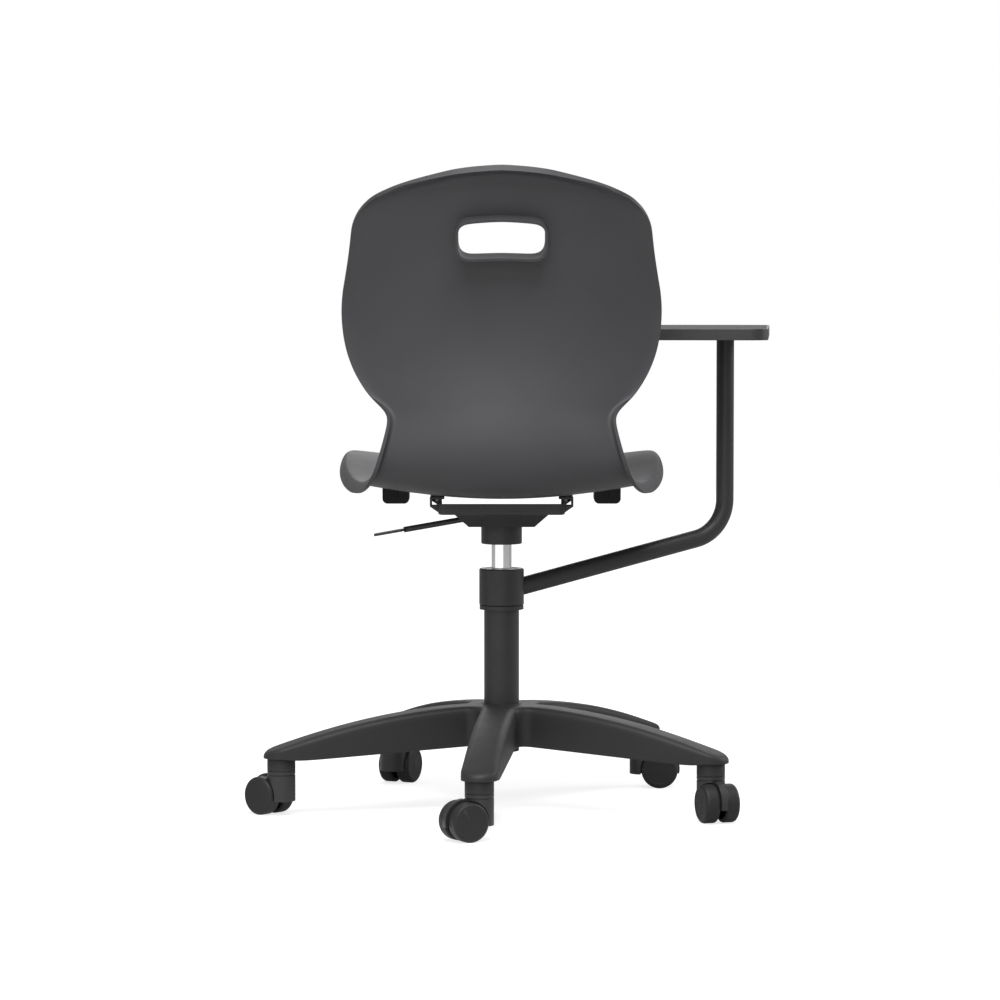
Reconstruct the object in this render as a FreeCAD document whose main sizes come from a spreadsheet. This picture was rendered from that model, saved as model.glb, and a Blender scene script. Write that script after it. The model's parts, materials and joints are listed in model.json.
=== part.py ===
import FreeCAD, Part
import math
import os
import Sketcher

Vector = FreeCAD.Vector
Rotation = FreeCAD.Rotation
Placement = FreeCAD.Placement

# Driving dimensions, in millimetres and degrees.
# The frame is the chair's own: origin on the floor under the column,
# +Y is the way the sitter faces, +X the sitter's right, +Z up.
DIMENSIONS = [
    # fits and clearances
    ("running_gap", 0.1, "radial gap of a turning or sliding fit"),
    ("fit_gap", 0.05, "radial gap of a pressed or bolted fit"),
    ("seat_gap", 0.3, "gap between a curved face and what rests on it"),
    ("overrun", 5, "extra depth of a cut that goes right through"),
    # five star base
    ("leg_count", 5, "legs of the base"),
    ("base_heading", 5.43, "turn of the first leg from straight back"),
    ("castor_circle", 312.2, "radius of the circle of castor stems"),
    ("hub_radius", 31, "outer radius of the base hub"),
    ("hub_top", 146, "height of the hub's top"),
    ("hub_bottom", 89, "height of the hub's underside"),
    ("leg_width", 50, "width of a leg"),
    ("leg_shoulder", 9, "rounding along a leg's upper edges"),
    ("leg_wall", 4, "wall of a leg"),
    ("leg_root_top", 148, "height of a leg's top at the hub"),
    ("leg_root_bottom", 94.5, "height of a leg's lower edge at the hub"),
    ("leg_tip_top", 95.5, "height of a leg's top over its castor"),
    ("leg_end_top", 87.5, "height of a leg's top at the very end"),
    ("leg_tip_bottom", 79, "height of the lip's underside at a leg's end"),
    ("leg_end_bottom", 75, "height of a leg's lower edge at its castor"),
    ("leg_arch", 13.5, "rise of the arched top over a straight line"),
    ("tip_lip", 6, "overhang of the leg's end past the socket"),
    ("socket_diameter", 39, "outer diameter of a castor socket"),
    ("socket_bottom", 62, "height of a socket's lower face"),
    ("rib_thickness", 3, "thickness of the ribs under a leg"),
    ("rib_count", 4, "cross ribs under a leg"),
    # castors
    ("wheel_diameter", 53, "castor wheel diameter"),
    ("wheel_width", 20, "width of one castor wheel"),
    ("wheel_edge", 5, "rounding of a wheel's outer edge"),
    ("wheel_skin", 3, "thickness of a wheel's rim and face"),
    ("wheel_gap", 1.5, "gap between a wheel and the hood around it"),
    ("castor_trail", 23.5, "offset of the axle from the stem"),
    ("castor_web", 9, "thickness of the web between the wheels"),
    ("mudguard_proud", 3.5, "reach of the web past the wheels"),
    ("hood_bottom", 20, "height of the hood's lower edge"),
    ("neck_groove", 1.2, "depth of the ring grooves in the hood's neck"),
    ("neck_ring", 3, "height of each ring of the hood's neck"),
    ("axle_diameter", 8, "castor axle diameter"),
    ("stem_diameter", 11, "castor stem diameter"),
    ("stem_length", 20, "reach of the stem into its socket"),
    ("stem_root", 13, "depth of the stem in the hood"),
    ("clip_thickness", 1.2, "thickness of the stem's grip ring"),
    ("clip_height", 5, "height of the stem's grip ring"),
    # gas lift
    ("column_diameter", 49, "outer diameter of the column tube"),
    ("column_wall", 2.2, "wall of the column tube"),
    ("column_bottom", 81.5, "height of the column tube's lower end"),
    ("lift_show", 38.8, "length of the pressure tube that shows over the column"),
    ("floor_recess", 3.5, "depth of the tube's end plate above its lower end"),
    ("floor_thickness", 4, "thickness of the end plate"),
    ("bush_length", 118, "length of the guide bush in the column"),
    ("bush_flange", 3, "thickness of the guide bush's flange"),
    ("rod_diameter", 10, "piston rod diameter"),
    ("piston_height", 13, "height of the piston"),
    ("piston_rise", 146, "height of the piston over the bearing"),
    ("bearing_diameter", 26, "outer diameter of the thrust bearing"),
    ("bearing_height", 6, "height of the thrust bearing"),
    ("race_height", 1.8, "height of each race of the bearing"),
    ("clip_diameter", 18, "outer diameter of the retaining clip"),
    ("clip_plate", 1.2, "thickness of the retaining clip"),
    ("rod_end", 1, "reach of the rod past its clip"),
    ("lift_diameter", 28, "outer diameter of the pressure tube"),
    ("lift_wall", 2, "wall of the pressure tube"),
    ("lift_bottom", 132, "height of the pressure tube's lower end"),
    ("lift_drop", 47, "drop of the pressure tube's top below the seat's front edge"),
    ("lift_plug", 10, "thickness of the pressure tube's end plugs"),
    ("valve_diameter", 6, "valve pin diameter"),
    ("valve_length", 14, "valve pin length"),
    # tablet arm
    ("collar_diameter", 62.5, "outer diameter of the arm's collar"),
    ("collar_height", 50.5, "height of the arm's collar"),
    ("collar_rise", 4.5, "rise of the collar's upper face over the column tube"),
    ("collar_edge", 1.5, "chamfer of the collar's edges"),
    ("bearing_wall", 3, "wall of the collar's plastic bearing"),
    ("ring_diameter", 61.5, "outer diameter of the support ring"),
    ("ring_height", 6.8, "height of the support ring"),
    ("ring_screw_diameter", 4, "diameter of the ring's grub screw"),
    ("arm_heading", 20, "heading of the arm, from +X towards +Y"),
    ("arm_reach", 338.5, "distance of the upright tube from the column"),
    ("arm_tube_diameter", 25, "outer diameter of the arm tube"),
    ("arm_tube_wall", 2, "wall of the arm tube"),
    ("arm_root_rise", 17.5, "rise of the lower run, produced to the column, in the collar"),
    ("arm_rise", 77.5, "rise of the lower run out to the upright"),
    ("arm_bend", 57, "bend radius of the arm tube's centreline"),
    # writing tablet
    ("tablet_underside", 655.5, "height of the tablet's underside"),
    ("tablet_thickness", 16, "thickness of the tablet"),
    ("tablet_width", 306, "width of the tablet"),
    ("tablet_depth", 451, "depth of the tablet"),
    ("tablet_corner", 25, "corner radius of the tablet"),
    ("tablet_edge", 1, "bevel of the tablet's edges"),
    ("tablet_yaw", -4.1, "turn of the tablet about the upright"),
    ("tablet_right", 61.5, "reach of the tablet right of the upright"),
    ("tablet_near", 132, "reach of the tablet behind the upright"),
    ("fixing_width", 90, "width of the steel plate in the tablet"),
    ("fixing_depth", 150, "depth of the steel plate in the tablet"),
    ("fixing_thickness", 4, "thickness of the steel plate in the tablet"),
    ("fixing_inset", 12, "distance of the screws from the plate's edges"),
    ("tablet_screw_diameter", 4, "shank diameter of the tablet's screws"),
    ("tablet_screw_length", 11, "length of the tablet's screws"),
    # seat mechanism
    ("boss_diameter", 57, "outer diameter of the taper socket"),
    ("boss_drop", 80.2, "drop of the taper socket's lower face below the seat's front edge"),
    ("boss_edge", 1, "chamfer of the taper socket"),
    ("spigot_diameter", 40, "diameter of the socket's spigot in the housing"),
    ("spigot_height", 7, "height of the socket's spigot"),
    ("housing_drop", 54, "drop of the housing's lower face below the seat's front edge"),
    ("knee_rise", 17.5, "rise of the housing's sloping walls"),
    ("housing_floor_width", 91, "width of the housing's floor"),
    ("housing_floor_depth", 100, "depth of the housing's floor"),
    ("housing_width", 128, "width of the housing's rim"),
    ("housing_depth", 140, "depth of the housing's rim"),
    ("housing_wall", 2.5, "wall of the housing"),
    ("plate_width", 174.5, "width of the seat plate"),
    ("plate_depth", 190, "depth of the seat plate"),
    ("plate_drop", 19.4, "drop of the seat plate's upper face below the seat's front edge"),
    ("plate_height", 15.3, "height of the seat plate"),
    ("plate_wall", 3, "wall of the seat plate"),
    ("plate_corner", 9, "corner radius of the seat plate"),
    ("plate_rim", 3, "rounding of the seat plate's lower rim"),
    ("ear_lean", 11.5, "sideways lean of an ear"),
    ("ear_width", 22, "width of an ear"),
    ("ear_length", 20, "length of an ear's pad"),
    ("ear_offset", 72, "distance of an ear from the middle"),
    ("ear_rear_rise", 8.9, "rise of the rear ears' pads over the seat plate"),
    ("ear_front_rise", 23.4, "rise of the front ears' pads over the seat plate"),
    ("plate_screw_diameter", 6, "shank diameter of the shell's screws"),
    ("plate_screw_length", 10, "length of the shell's screws"),
    ("screw_head_diameter", 11, "head diameter of the shell's screws"),
    ("screw_head_height", 3, "head height of the shell's screws"),
    # height lever
    ("lever_diameter", 8, "diameter of the lever's rod"),
    ("lever_pivot_x", 40, "distance of the lever's pivot from the column"),
    ("lever_pivot_rise", 10.2, "rise of the lever's pivot over the housing's lower face"),
    ("lever_slope", 10, "slope of the lever"),
    ("lever_rod_length", 98, "reach of the lever's rod past its pivot"),
    ("lever_inner", 43, "reach of the lever inwards of its pivot"),
    ("paddle_length", 46, "length of the lever's paddle"),
    ("paddle_width", 24, "width of the lever's paddle"),
    ("paddle_thickness", 3, "thickness of the lever's paddle"),
    ("lever_pin_diameter", 4, "diameter of the lever's hinge pin"),
    ("lug_thickness", 3, "thickness of the lugs that hold the hinge pin"),
    ("lug_width", 12, "width of a hinge lug"),
    ("lug_gap", 1, "gap between the lever's rod and a lug"),
    ("lever_play", 3, "room for the lever in the housing's slot"),
    # moulded shell
    ("shell_wall", 5, "wall of the shell"),
    ("back_rise", 445, "rise of the back's top edge over the seat's front edge"),
    ("seat_reach", 232, "reach of the seat's front edge from the column"),
    ("seat_front_height", 452, "height of the seat's front edge"),
    ("shell_half_width", 215.8, "half of the back's greatest width"),
    ("seat_half_width", 226, "half of the seat's greatest width"),
    ("seat_lip", 19, "depth of the seat's turned-down edge"),
    ("seat_roll", 17, "width of the seat's turned-down edge"),
    ("seat_turn", 78, "turn of the seat's edge"),
    ("back_lip", 3, "depth of the back's rolled edge"),
    ("back_roll", 20, "width of the back's rolled edge"),
    ("back_turn", 25, "turn of the back's edge"),
    ("top_curl", 11, "backward curl of the top edge"),
    ("curl_length", 22, "length of the curl along the back"),
    ("top_crown", 71, "drop of the top edge from the middle to the shoulder"),
    ("front_bow", 10, "forward bow of the seat's front edge"),
    ("shoulder_run", 48, "length of the shoulder rounding down the side"),
    ("shoulder_width", 38, "width of the shoulder rounding"),
    ("corner_run", 80, "length of the front corner rounding"),
    ("corner_width", 62, "width of the front corner rounding"),
    ("slot_width", 116, "width of the hand slot"),
    ("slot_height", 51, "height of the hand slot"),
    ("slot_upper_corner", 12, "upper corner radius of the hand slot"),
    ("slot_lower_corner", 17, "lower corner radius of the hand slot"),
    ("slot_drop", 103, "distance of the slot's middle below the top edge"),
    ("slot_collar_wall", 3.6, "wall of the collar round the slot"),
    ("slot_collar_depth", 20, "depth of the collar behind the shell"),
    ("boss_radius", 9, "radius of the shell's screw bosses"),
    # buffer blocks under the shell
    ("block_width", 37, "width of a buffer block"),
    ("block_length", 46, "length of a buffer block"),
    ("block_drop", 21, "drop of a buffer block's lower face below the seat's front edge"),
    ("block_offset", 146, "distance of a block from the middle"),
    ("block_rear", 60, "distance of a block's rear face behind the column"),
    ("block_corner", 7, "corner radius of a buffer block"),
    ("block_rib", 4, "width of the rib on a block's rear face"),
    ("block_rib_depth", 1, "depth of that rib"),
    ("buffer_screw_diameter", 5, "shank diameter of a buffer block's screw"),
    ("buffer_screw_length", 24.5, "length of a buffer block's screw"),
]

doc = FreeCAD.newDocument("task_chair")
sheet = doc.addObject("Spreadsheet::Sheet", "dims")
sheet.Label = "driving dimensions"
for row, (alias, value, note) in enumerate(DIMENSIONS, start=1):
    sheet.set(f"A{row}", str(value))
    sheet.setAlias(f"A{row}", alias)
    sheet.set(f"B{row}", note)
doc.recompute()


class Size:
    """A size that holds its value and the sheet expression that gives it."""

    def __init__(self, value, text):
        self.value = float(value)
        self.text = text

    def join(self, other, sign, value):
        text = other.text if isinstance(other, Size) else str(other)
        return Size(value, f"({self.text} {sign} {text})")

    def __float__(self):
        return self.value

    def __add__(self, other):
        return self.join(other, "+", self.value + float(other))

    def __sub__(self, other):
        return self.join(other, "-", self.value - float(other))

    def __mul__(self, other):
        return self.join(other, "*", self.value * float(other))

    def __truediv__(self, other):
        return self.join(other, "/", self.value / float(other))

    def __neg__(self):
        return Size(-self.value, f"(-{self.text})")


class Sizes:
    """Every driving dimension by its alias."""

    def __init__(self, aliases):
        for alias in aliases:
            setattr(self, alias, Size(getattr(sheet, alias), f"dims.{alias}"))


def tangent(angle):
    """Tangent of an angle given in degrees."""
    return Size(math.tan(math.radians(float(angle))), f"tan({angle.text} * 1 deg)")


def cosine(angle):
    """Cosine of an angle given in degrees."""
    return Size(math.cos(math.radians(float(angle))), f"cos({angle.text} * 1 deg)")


dim = Sizes([alias for alias, value, note in DIMENSIONS])
# Heights that follow the seat's front edge, from the shell down to the arm
dim.shell_height = dim.seat_front_height + dim.back_rise
dim.block_bottom = dim.seat_front_height - dim.block_drop
dim.plate_top = dim.seat_front_height - dim.plate_drop
dim.ear_rear_top = dim.plate_top + dim.ear_rear_rise
dim.ear_front_top = dim.plate_top + dim.ear_front_rise
dim.housing_bottom = dim.seat_front_height - dim.housing_drop
dim.housing_knee = dim.housing_bottom + dim.knee_rise
dim.lever_pivot_height = dim.housing_bottom + dim.lever_pivot_rise
dim.lift_top = dim.seat_front_height - dim.lift_drop
dim.boss_bottom = dim.seat_front_height - dim.boss_drop
dim.column_top = dim.boss_bottom - dim.lift_show
dim.collar_top = dim.column_top + dim.collar_rise
dim.collar_bottom = dim.collar_top - dim.collar_height
dim.arm_root_height = dim.collar_bottom + dim.arm_root_rise

ZERO = Size(0, "0")
PARTS = []


# Helpers for bodies, sketches and features. Lengths that agree to this are the same.
SAME_LENGTH = 0.01


def new_body(label, place=None):
    body = doc.addObject("PartDesign::Body", label)
    body.Label = label
    if place is not None:
        body.Placement = place
    PARTS.append(body)
    return body


def new_sketch(body, role, offset=None):
    """A sketch on one of the body's own planes, moved along its normal by offset."""
    plane = next(item for item in body.Origin.OriginFeatures if item.Role == role)
    sketch = body.newObject("Sketcher::SketchObject", body.Name + "_sketch")
    sketch.AttachmentSupport = [(plane, "")]
    sketch.MapMode = "FlatFace"
    if offset is not None:
        sketch.setExpression(".AttachmentOffset.Base.z", offset.text)
    return sketch


def pin_point(sketch, element, vertex, x, y):
    """Hold a vertex at x, y from the sketch's origin."""
    for kind, length in (("DistanceX", x), ("DistanceY", y)):
        index = sketch.addConstraint(
            Sketcher.Constraint(kind, -1, 1, element, vertex, float(length)))
        if isinstance(length, Size) and length.value:
            sketch.setExpression(f"Constraints[{index}]", length.text)


def draw_circle(sketch, diameter, x=ZERO, y=ZERO):
    centre = Vector(float(x), float(y), 0)
    circle = sketch.addGeometry(Part.Circle(centre, Vector(0, 0, 1), float(diameter) / 2), False)
    pin_point(sketch, circle, 3, x, y)
    index = sketch.addConstraint(Sketcher.Constraint("Diameter", circle, float(diameter)))
    sketch.setExpression(f"Constraints[{index}]", diameter.text)


def draw_outline(sketch, points):
    """A closed outline of straight lines through points, each held by its own sizes."""
    vectors = [Vector(float(x), float(y), 0) for x, y in points]
    lines = []
    for start, end in zip(vectors, vectors[1:] + vectors[:1]):
        lines.append(sketch.addGeometry(Part.LineSegment(start, end), False))
    for line, after in zip(lines, lines[1:] + lines[:1]):
        sketch.addConstraint(Sketcher.Constraint("Coincident", line, 2, after, 1))
    for line, (x, y) in zip(lines, points):
        pin_point(sketch, line, 1, x, y)


def draw_box(sketch, x_low, x_high, y_low, y_high):
    draw_outline(sketch, [(x_low, y_low), (x_high, y_low), (x_high, y_high), (x_low, y_high)])


def pad(body, sketch, length, both_ways=False, back=False):
    feature = body.newObject("PartDesign::Pad", body.Name + "_pad")
    feature.Profile = sketch
    feature.Midplane = both_ways
    feature.Reversed = back
    feature.setExpression("Length", length.text)
    return feature


def pocket(body, sketch, length, both_ways=False, back=False):
    feature = body.newObject("PartDesign::Pocket", body.Name + "_pocket")
    feature.Profile = sketch
    feature.Midplane = both_ways
    feature.Reversed = back
    feature.setExpression("Length", length.text)
    return feature


def spin(body, sketch, cut=False):
    """Turn a sketch of an upright plane about the body's own Z axis."""
    kind = "PartDesign::Groove" if cut else "PartDesign::Revolution"
    feature = body.newObject(kind, body.Name + "_turned")
    feature.Profile = sketch
    feature.ReferenceAxis = (sketch, ["V_Axis"])
    feature.Angle = 360
    return feature


def turned(label, points, place=None):
    """A body of revolution from radius and height pairs."""
    body = new_body(label, place)
    sketch = new_sketch(body, "XZ_Plane")
    draw_outline(sketch, points)
    spin(body, sketch)
    return body


def dress_edges(body, kind, size, test):
    """Fillet or chamfer the edges of the body's last feature that pass the test."""
    doc.recompute()
    base = body.Tip
    names = [f"Edge{i}" for i, edge in enumerate(base.Shape.Edges, start=1) if test(edge)]
    feature = body.newObject(kind, body.Name + "_edges")
    feature.Base = (base, names)
    feature.setExpression("Radius" if kind.endswith("Fillet") else "Size", size.text)
    return feature


def round_edges(body, size, test):
    return dress_edges(body, "PartDesign::Fillet", size, test)


def bevel_edges(body, size, test):
    return dress_edges(body, "PartDesign::Chamfer", size, test)


def circle_at(radius, height):
    """A test for a round edge about the Z axis with this radius and height."""
    def test(edge):
        curve = edge.Curve
        if curve.TypeId != "Part::GeomCircle":
            return False
        level = abs(curve.Center.z - float(height)) < SAME_LENGTH
        return level and abs(curve.Radius - float(radius)) < SAME_LENGTH
    return test


def repeat_round(body, originals, count):
    """Repeat features of the body round its Z axis."""
    doc.recompute()
    axis = next(item for item in body.Origin.OriginFeatures if item.Role == "Z_Axis")
    pattern = body.newObject("PartDesign::PolarPattern", body.Name + "_round")
    pattern.Originals = originals
    pattern.Axis = (axis, [""])
    pattern.Angle = 360
    pattern.setExpression("Occurrences", count.text)
    body.Tip = pattern
    return pattern


# Column, which stands in the base
def make_column():
    outer = dim.column_diameter / 2
    inner = outer - dim.column_wall
    floor = dim.column_bottom + dim.floor_recess
    floor_top = floor + dim.floor_thickness
    rod_hole = dim.rod_diameter / 2 + dim.running_gap
    turned("column_tube", [
        (rod_hole, floor), (inner, floor), (inner, dim.column_bottom),
        (outer, dim.column_bottom), (outer, dim.column_top),
        (inner, dim.column_top), (inner, floor_top), (rod_hole, floor_top)])
    bore = dim.lift_diameter / 2 + dim.running_gap
    liner = inner - dim.fit_gap
    flange_top = dim.column_top + dim.bush_flange
    turned("guide_bush", [
        (bore, dim.column_top - dim.bush_length), (liner, dim.column_top - dim.bush_length),
        (liner, dim.column_top), (outer, dim.column_top), (outer, flange_top), (bore, flange_top)])
    return floor, floor_top


def make_rod(floor, floor_top):
    """Piston rod with its piston, the bearing it turns on and the clip that holds it."""
    rod = dim.rod_diameter / 2
    piston = dim.lift_diameter / 2 - dim.lift_wall - dim.running_gap
    bearing_top = floor_top + dim.bearing_height
    piston_bottom = bearing_top + dim.piston_rise
    shoulder = dim.rod_diameter / 2 + dim.clip_plate * 2
    rod_bottom = floor - dim.clip_plate - dim.rod_end
    turned("piston_rod", [
        (ZERO, rod_bottom), (rod, rod_bottom), (rod, bearing_top), (shoulder, bearing_top),
        (shoulder, bearing_top + dim.clip_plate), (rod, bearing_top + dim.clip_plate),
        (rod, piston_bottom), (piston, piston_bottom), (piston, piston_bottom + dim.piston_height),
        (ZERO, piston_bottom + dim.piston_height)])
    clip_bore = rod + dim.fit_gap
    clip = dim.clip_diameter / 2
    turned("retaining_clip", [
        (clip_bore, floor - dim.clip_plate), (clip, floor - dim.clip_plate),
        (clip, floor), (clip_bore, floor)])
    make_bearing(floor_top, bearing_top)


def make_bearing(bottom, top):
    """Two races with balls between them, in one piece that carries the turning load."""
    bore = dim.rod_diameter / 2 + dim.fit_gap
    outer = dim.bearing_diameter / 2
    middle = (bore + outer) / 2
    body = turned("thrust_bearing", [
        (bore, bottom), (outer, bottom), (outer, bottom + dim.race_height),
        (bore, bottom + dim.race_height)])
    sketch = new_sketch(body, "XZ_Plane")
    draw_outline(sketch, [
        (bore, top - dim.race_height), (outer, top - dim.race_height), (outer, top), (bore, top)])
    spin(body, sketch)
    cage = dim.race_height
    sketch = new_sketch(body, "XZ_Plane")
    draw_outline(sketch, [
        (middle - cage, bottom), (middle + cage, bottom), (middle + cage, top),
        (middle - cage, top)])
    spin(body, sketch)


def make_lift():
    """Pressure tube of the gas lift, hollow between its plugs, and its release pin."""
    outer = dim.lift_diameter / 2
    inner = outer - dim.lift_wall
    rod_hole = dim.rod_diameter / 2 + dim.running_gap
    valve_hole = dim.valve_diameter / 2 + dim.running_gap
    body = turned("pressure_tube", [
        (ZERO, dim.lift_bottom), (outer, dim.lift_bottom), (outer, dim.lift_top),
        (ZERO, dim.lift_top)])
    sketch = new_sketch(body, "XZ_Plane")
    low = dim.lift_bottom + dim.lift_plug
    high = dim.lift_top - dim.lift_plug
    draw_outline(sketch, [
        (ZERO, dim.lift_bottom - dim.overrun), (rod_hole, dim.lift_bottom - dim.overrun),
        (rod_hole, low), (inner, low), (inner, high), (valve_hole, high),
        (valve_hole, dim.lift_top + dim.overrun), (ZERO, dim.lift_top + dim.overrun)])
    spin(body, sketch, cut=True)


def lever_height_over_valve():
    """Height of the rod's lower side over the near edge of the valve pin."""
    reach = dim.lever_pivot_x - dim.valve_diameter / 2
    return (dim.lever_pivot_height + reach * tangent(dim.lever_slope)
            - dim.lever_diameter / 2 / cosine(dim.lever_slope))


def make_valve_pin():
    top = lever_height_over_valve() - dim.seat_gap
    pin = dim.valve_diameter / 2
    turned("valve_pin", [
        (ZERO, top - dim.valve_length), (pin, top - dim.valve_length), (pin, top), (ZERO, top)])


# Tablet arm, which turns round the column above its support ring
def make_collar():
    column = dim.column_diameter / 2
    bearing_bore = column + dim.running_gap
    bearing = bearing_bore + dim.bearing_wall
    outer = dim.collar_diameter / 2
    collar_bore = bearing + dim.fit_gap
    turned("collar_bush", [
        (bearing_bore, dim.collar_bottom), (bearing, dim.collar_bottom),
        (bearing, dim.collar_top), (bearing_bore, dim.collar_top)])
    collar = turned("arm_collar", [
        (collar_bore, dim.collar_bottom), (outer, dim.collar_bottom),
        (outer, dim.collar_top), (collar_bore, dim.collar_top)])
    bevel_edges(collar, dim.collar_edge, circle_at(outer, dim.collar_top))
    make_support_ring(column + dim.fit_gap)


def make_support_ring(bore):
    """Ring clamped to the column by a grub screw, which carries the arm's collar."""
    outer = dim.ring_diameter / 2
    ring_bottom = dim.collar_bottom - dim.ring_height
    ring = turned("support_ring", [
        (bore, ring_bottom), (outer, ring_bottom), (outer, dim.collar_bottom),
        (bore, dim.collar_bottom)])
    bevel_edges(ring, dim.collar_edge, circle_at(outer, dim.collar_bottom))
    middle = ring_bottom + dim.ring_height / 2
    sketch = new_sketch(ring, "XZ_Plane")
    draw_circle(sketch, dim.ring_screw_diameter + dim.fit_gap * 2, ZERO, middle)
    pocket(ring, sketch, outer + dim.overrun)
    screw = new_body("ring_screw")
    sketch = new_sketch(screw, "XZ_Plane", -bore)
    draw_circle(sketch, dim.ring_screw_diameter, ZERO, middle)
    pad(screw, sketch, outer - bore - dim.collar_edge, back=True)


def arm_place():
    return Placement(Vector(), Rotation(Vector(0, 0, 1), float(dim.arm_heading)))


def make_arm_tube():
    """Bent tube: a rising run from the collar, one bend, and the upright."""
    body = new_body("arm_tube", arm_place())
    rise = math.atan2(float(dim.arm_rise), float(dim.arm_reach))
    turn = math.pi / 2 - rise
    setback = float(dim.arm_bend) * math.tan(turn / 2)
    corner = Vector(float(dim.arm_reach), float(dim.arm_root_height + dim.arm_rise), 0)
    along = Vector(math.cos(rise), math.sin(rise), 0)
    root = Vector(0, float(dim.arm_root_height), 0)
    top = Vector(float(dim.arm_reach), float(dim.tablet_underside), 0)
    bend_start = corner - along * setback
    bend_end = corner + Vector(0, setback, 0)
    centre = bend_end - Vector(float(dim.arm_bend), 0, 0)
    path = new_sketch(body, "XZ_Plane")
    run = path.addGeometry(Part.LineSegment(root, bend_start), False)
    circle = Part.Circle(centre, Vector(0, 0, 1), float(dim.arm_bend))
    bend = path.addGeometry(Part.ArcOfCircle(circle, rise - math.pi / 2, 0), False)
    upright = path.addGeometry(Part.LineSegment(bend_end, top), False)
    path.addConstraint(Sketcher.Constraint("Tangent", run, 2, bend, 1))
    path.addConstraint(Sketcher.Constraint("Tangent", bend, 2, upright, 1))
    path.addConstraint(Sketcher.Constraint("Vertical", upright))
    pin_point(path, run, 1, ZERO, dim.arm_root_height)
    pin_point(path, upright, 2, dim.arm_reach, dim.tablet_underside)
    radius = path.addConstraint(Sketcher.Constraint("Radius", bend, float(dim.arm_bend)))
    path.setExpression(f"Constraints[{radius}]", dim.arm_bend.text)
    slope = path.addConstraint(Sketcher.Constraint("Angle", run, rise))
    path.setExpression(
        f"Constraints[{slope}]", f"atan2({dim.arm_rise.text}; {dim.arm_reach.text})")
    section = new_sketch(body, "XY_Plane", dim.tablet_underside)
    draw_circle(section, dim.arm_tube_diameter, dim.arm_reach)
    draw_circle(section, dim.arm_tube_diameter - dim.arm_tube_wall * 2, dim.arm_reach)
    pipe = body.newObject("PartDesign::AdditivePipe", "arm_tube_pipe")
    pipe.Profile = section
    pipe.Spine = (path, ["Edge1", "Edge2", "Edge3"])
    doc.recompute()
    cope = new_sketch(body, "XY_Plane")
    draw_circle(cope, dim.collar_diameter)
    pocket(body, cope, dim.tablet_underside * 2, both_ways=True)


def tablet_place():
    """The tablet's frame: origin on the upright's axis at the tablet's underside."""
    heading = math.radians(float(dim.arm_heading))
    reach = float(dim.arm_reach)
    corner = Vector(reach * math.cos(heading), reach * math.sin(heading),
                    float(dim.tablet_underside))
    return Placement(corner, Rotation(Vector(0, 0, 1), float(dim.tablet_yaw)))


def screw_points(width, depth, inset):
    """Four places set in from the corners of a centred rectangle."""
    x = width / 2 - inset
    y = depth / 2 - inset
    return [(x, y), (-x, y), (-x, -y), (x, -y)]


def make_tablet():
    place = tablet_place()
    half_width = dim.fixing_width / 2
    half_depth = dim.fixing_depth / 2
    points = screw_points(dim.fixing_width, dim.fixing_depth, dim.fixing_inset)
    plate = new_body("tablet_plate", place)
    sketch = new_sketch(plate, "XY_Plane")
    draw_box(sketch, -half_width, half_width, -half_depth, half_depth)
    pad(plate, sketch, dim.fixing_thickness)
    holes = new_sketch(plate, "XY_Plane")
    for x, y in points:
        draw_circle(holes, dim.tablet_screw_diameter + dim.fit_gap * 2, x, y)
    pocket(plate, holes, dim.fixing_thickness * 2, both_ways=True)

    board = new_body("tablet_board", place)
    sketch = new_sketch(board, "XY_Plane")
    draw_box(sketch, dim.tablet_right - dim.tablet_width, dim.tablet_right,
             -dim.tablet_near, dim.tablet_depth - dim.tablet_near)
    pad(board, sketch, dim.tablet_thickness)
    upright_edges = vertical_edge_test(dim.tablet_thickness)
    round_edges(board, dim.tablet_corner, upright_edges)
    bevel_edges(board, dim.tablet_edge, flat_edge_test([ZERO, dim.tablet_thickness]))
    recess = new_sketch(board, "XY_Plane")
    gap = dim.fit_gap
    draw_box(recess, -half_width - gap, half_width + gap, -half_depth - gap, half_depth + gap)
    pocket(board, recess, dim.fixing_thickness, back=True)
    holes = new_sketch(board, "XY_Plane")
    for x, y in points:
        draw_circle(holes, dim.tablet_screw_diameter + dim.fit_gap * 2, x, y)
    pocket(board, holes, dim.tablet_screw_length + dim.fit_gap, back=True)

    screws = new_body("tablet_screws", place)
    sketch = new_sketch(screws, "XY_Plane")
    for x, y in points:
        draw_circle(sketch, dim.tablet_screw_diameter, x, y)
    pad(screws, sketch, dim.tablet_screw_length)


def vertical_edge_test(length):
    """Straight edges along Z of this length."""
    def test(edge):
        straight = edge.Curve.TypeId in ("Part::GeomLine", "Part::GeomLineSegment")
        upright = abs(edge.Vertexes[0].Z - edge.Vertexes[-1].Z)
        return straight and abs(upright - float(length)) < SAME_LENGTH
    return test


def flat_edge_test(heights):
    """Edges that lie wholly at one of these heights."""
    def test(edge):
        box = edge.BoundBox
        return any(abs(box.ZMin - float(height)) < SAME_LENGTH
                   and abs(box.ZMax - float(height)) < SAME_LENGTH for height in heights)
    return test


# Seat mechanism
def make_taper_socket():
    bore = dim.lift_diameter / 2 + dim.fit_gap
    outer = dim.boss_diameter / 2
    spigot = dim.spigot_diameter / 2
    top = dim.housing_bottom + dim.spigot_height
    body = turned("taper_socket", [
        (bore, dim.boss_bottom), (outer, dim.boss_bottom), (outer, dim.housing_bottom),
        (spigot, dim.housing_bottom), (spigot, top), (bore, top)])
    bevel_edges(body, dim.boss_edge, circle_at(outer, dim.boss_bottom))


def rectangle_section(body, height, width, depth):
    sketch = new_sketch(body, "XY_Plane", height)
    draw_box(sketch, -width / 2, width / 2, -depth / 2, depth / 2)
    return sketch


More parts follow.
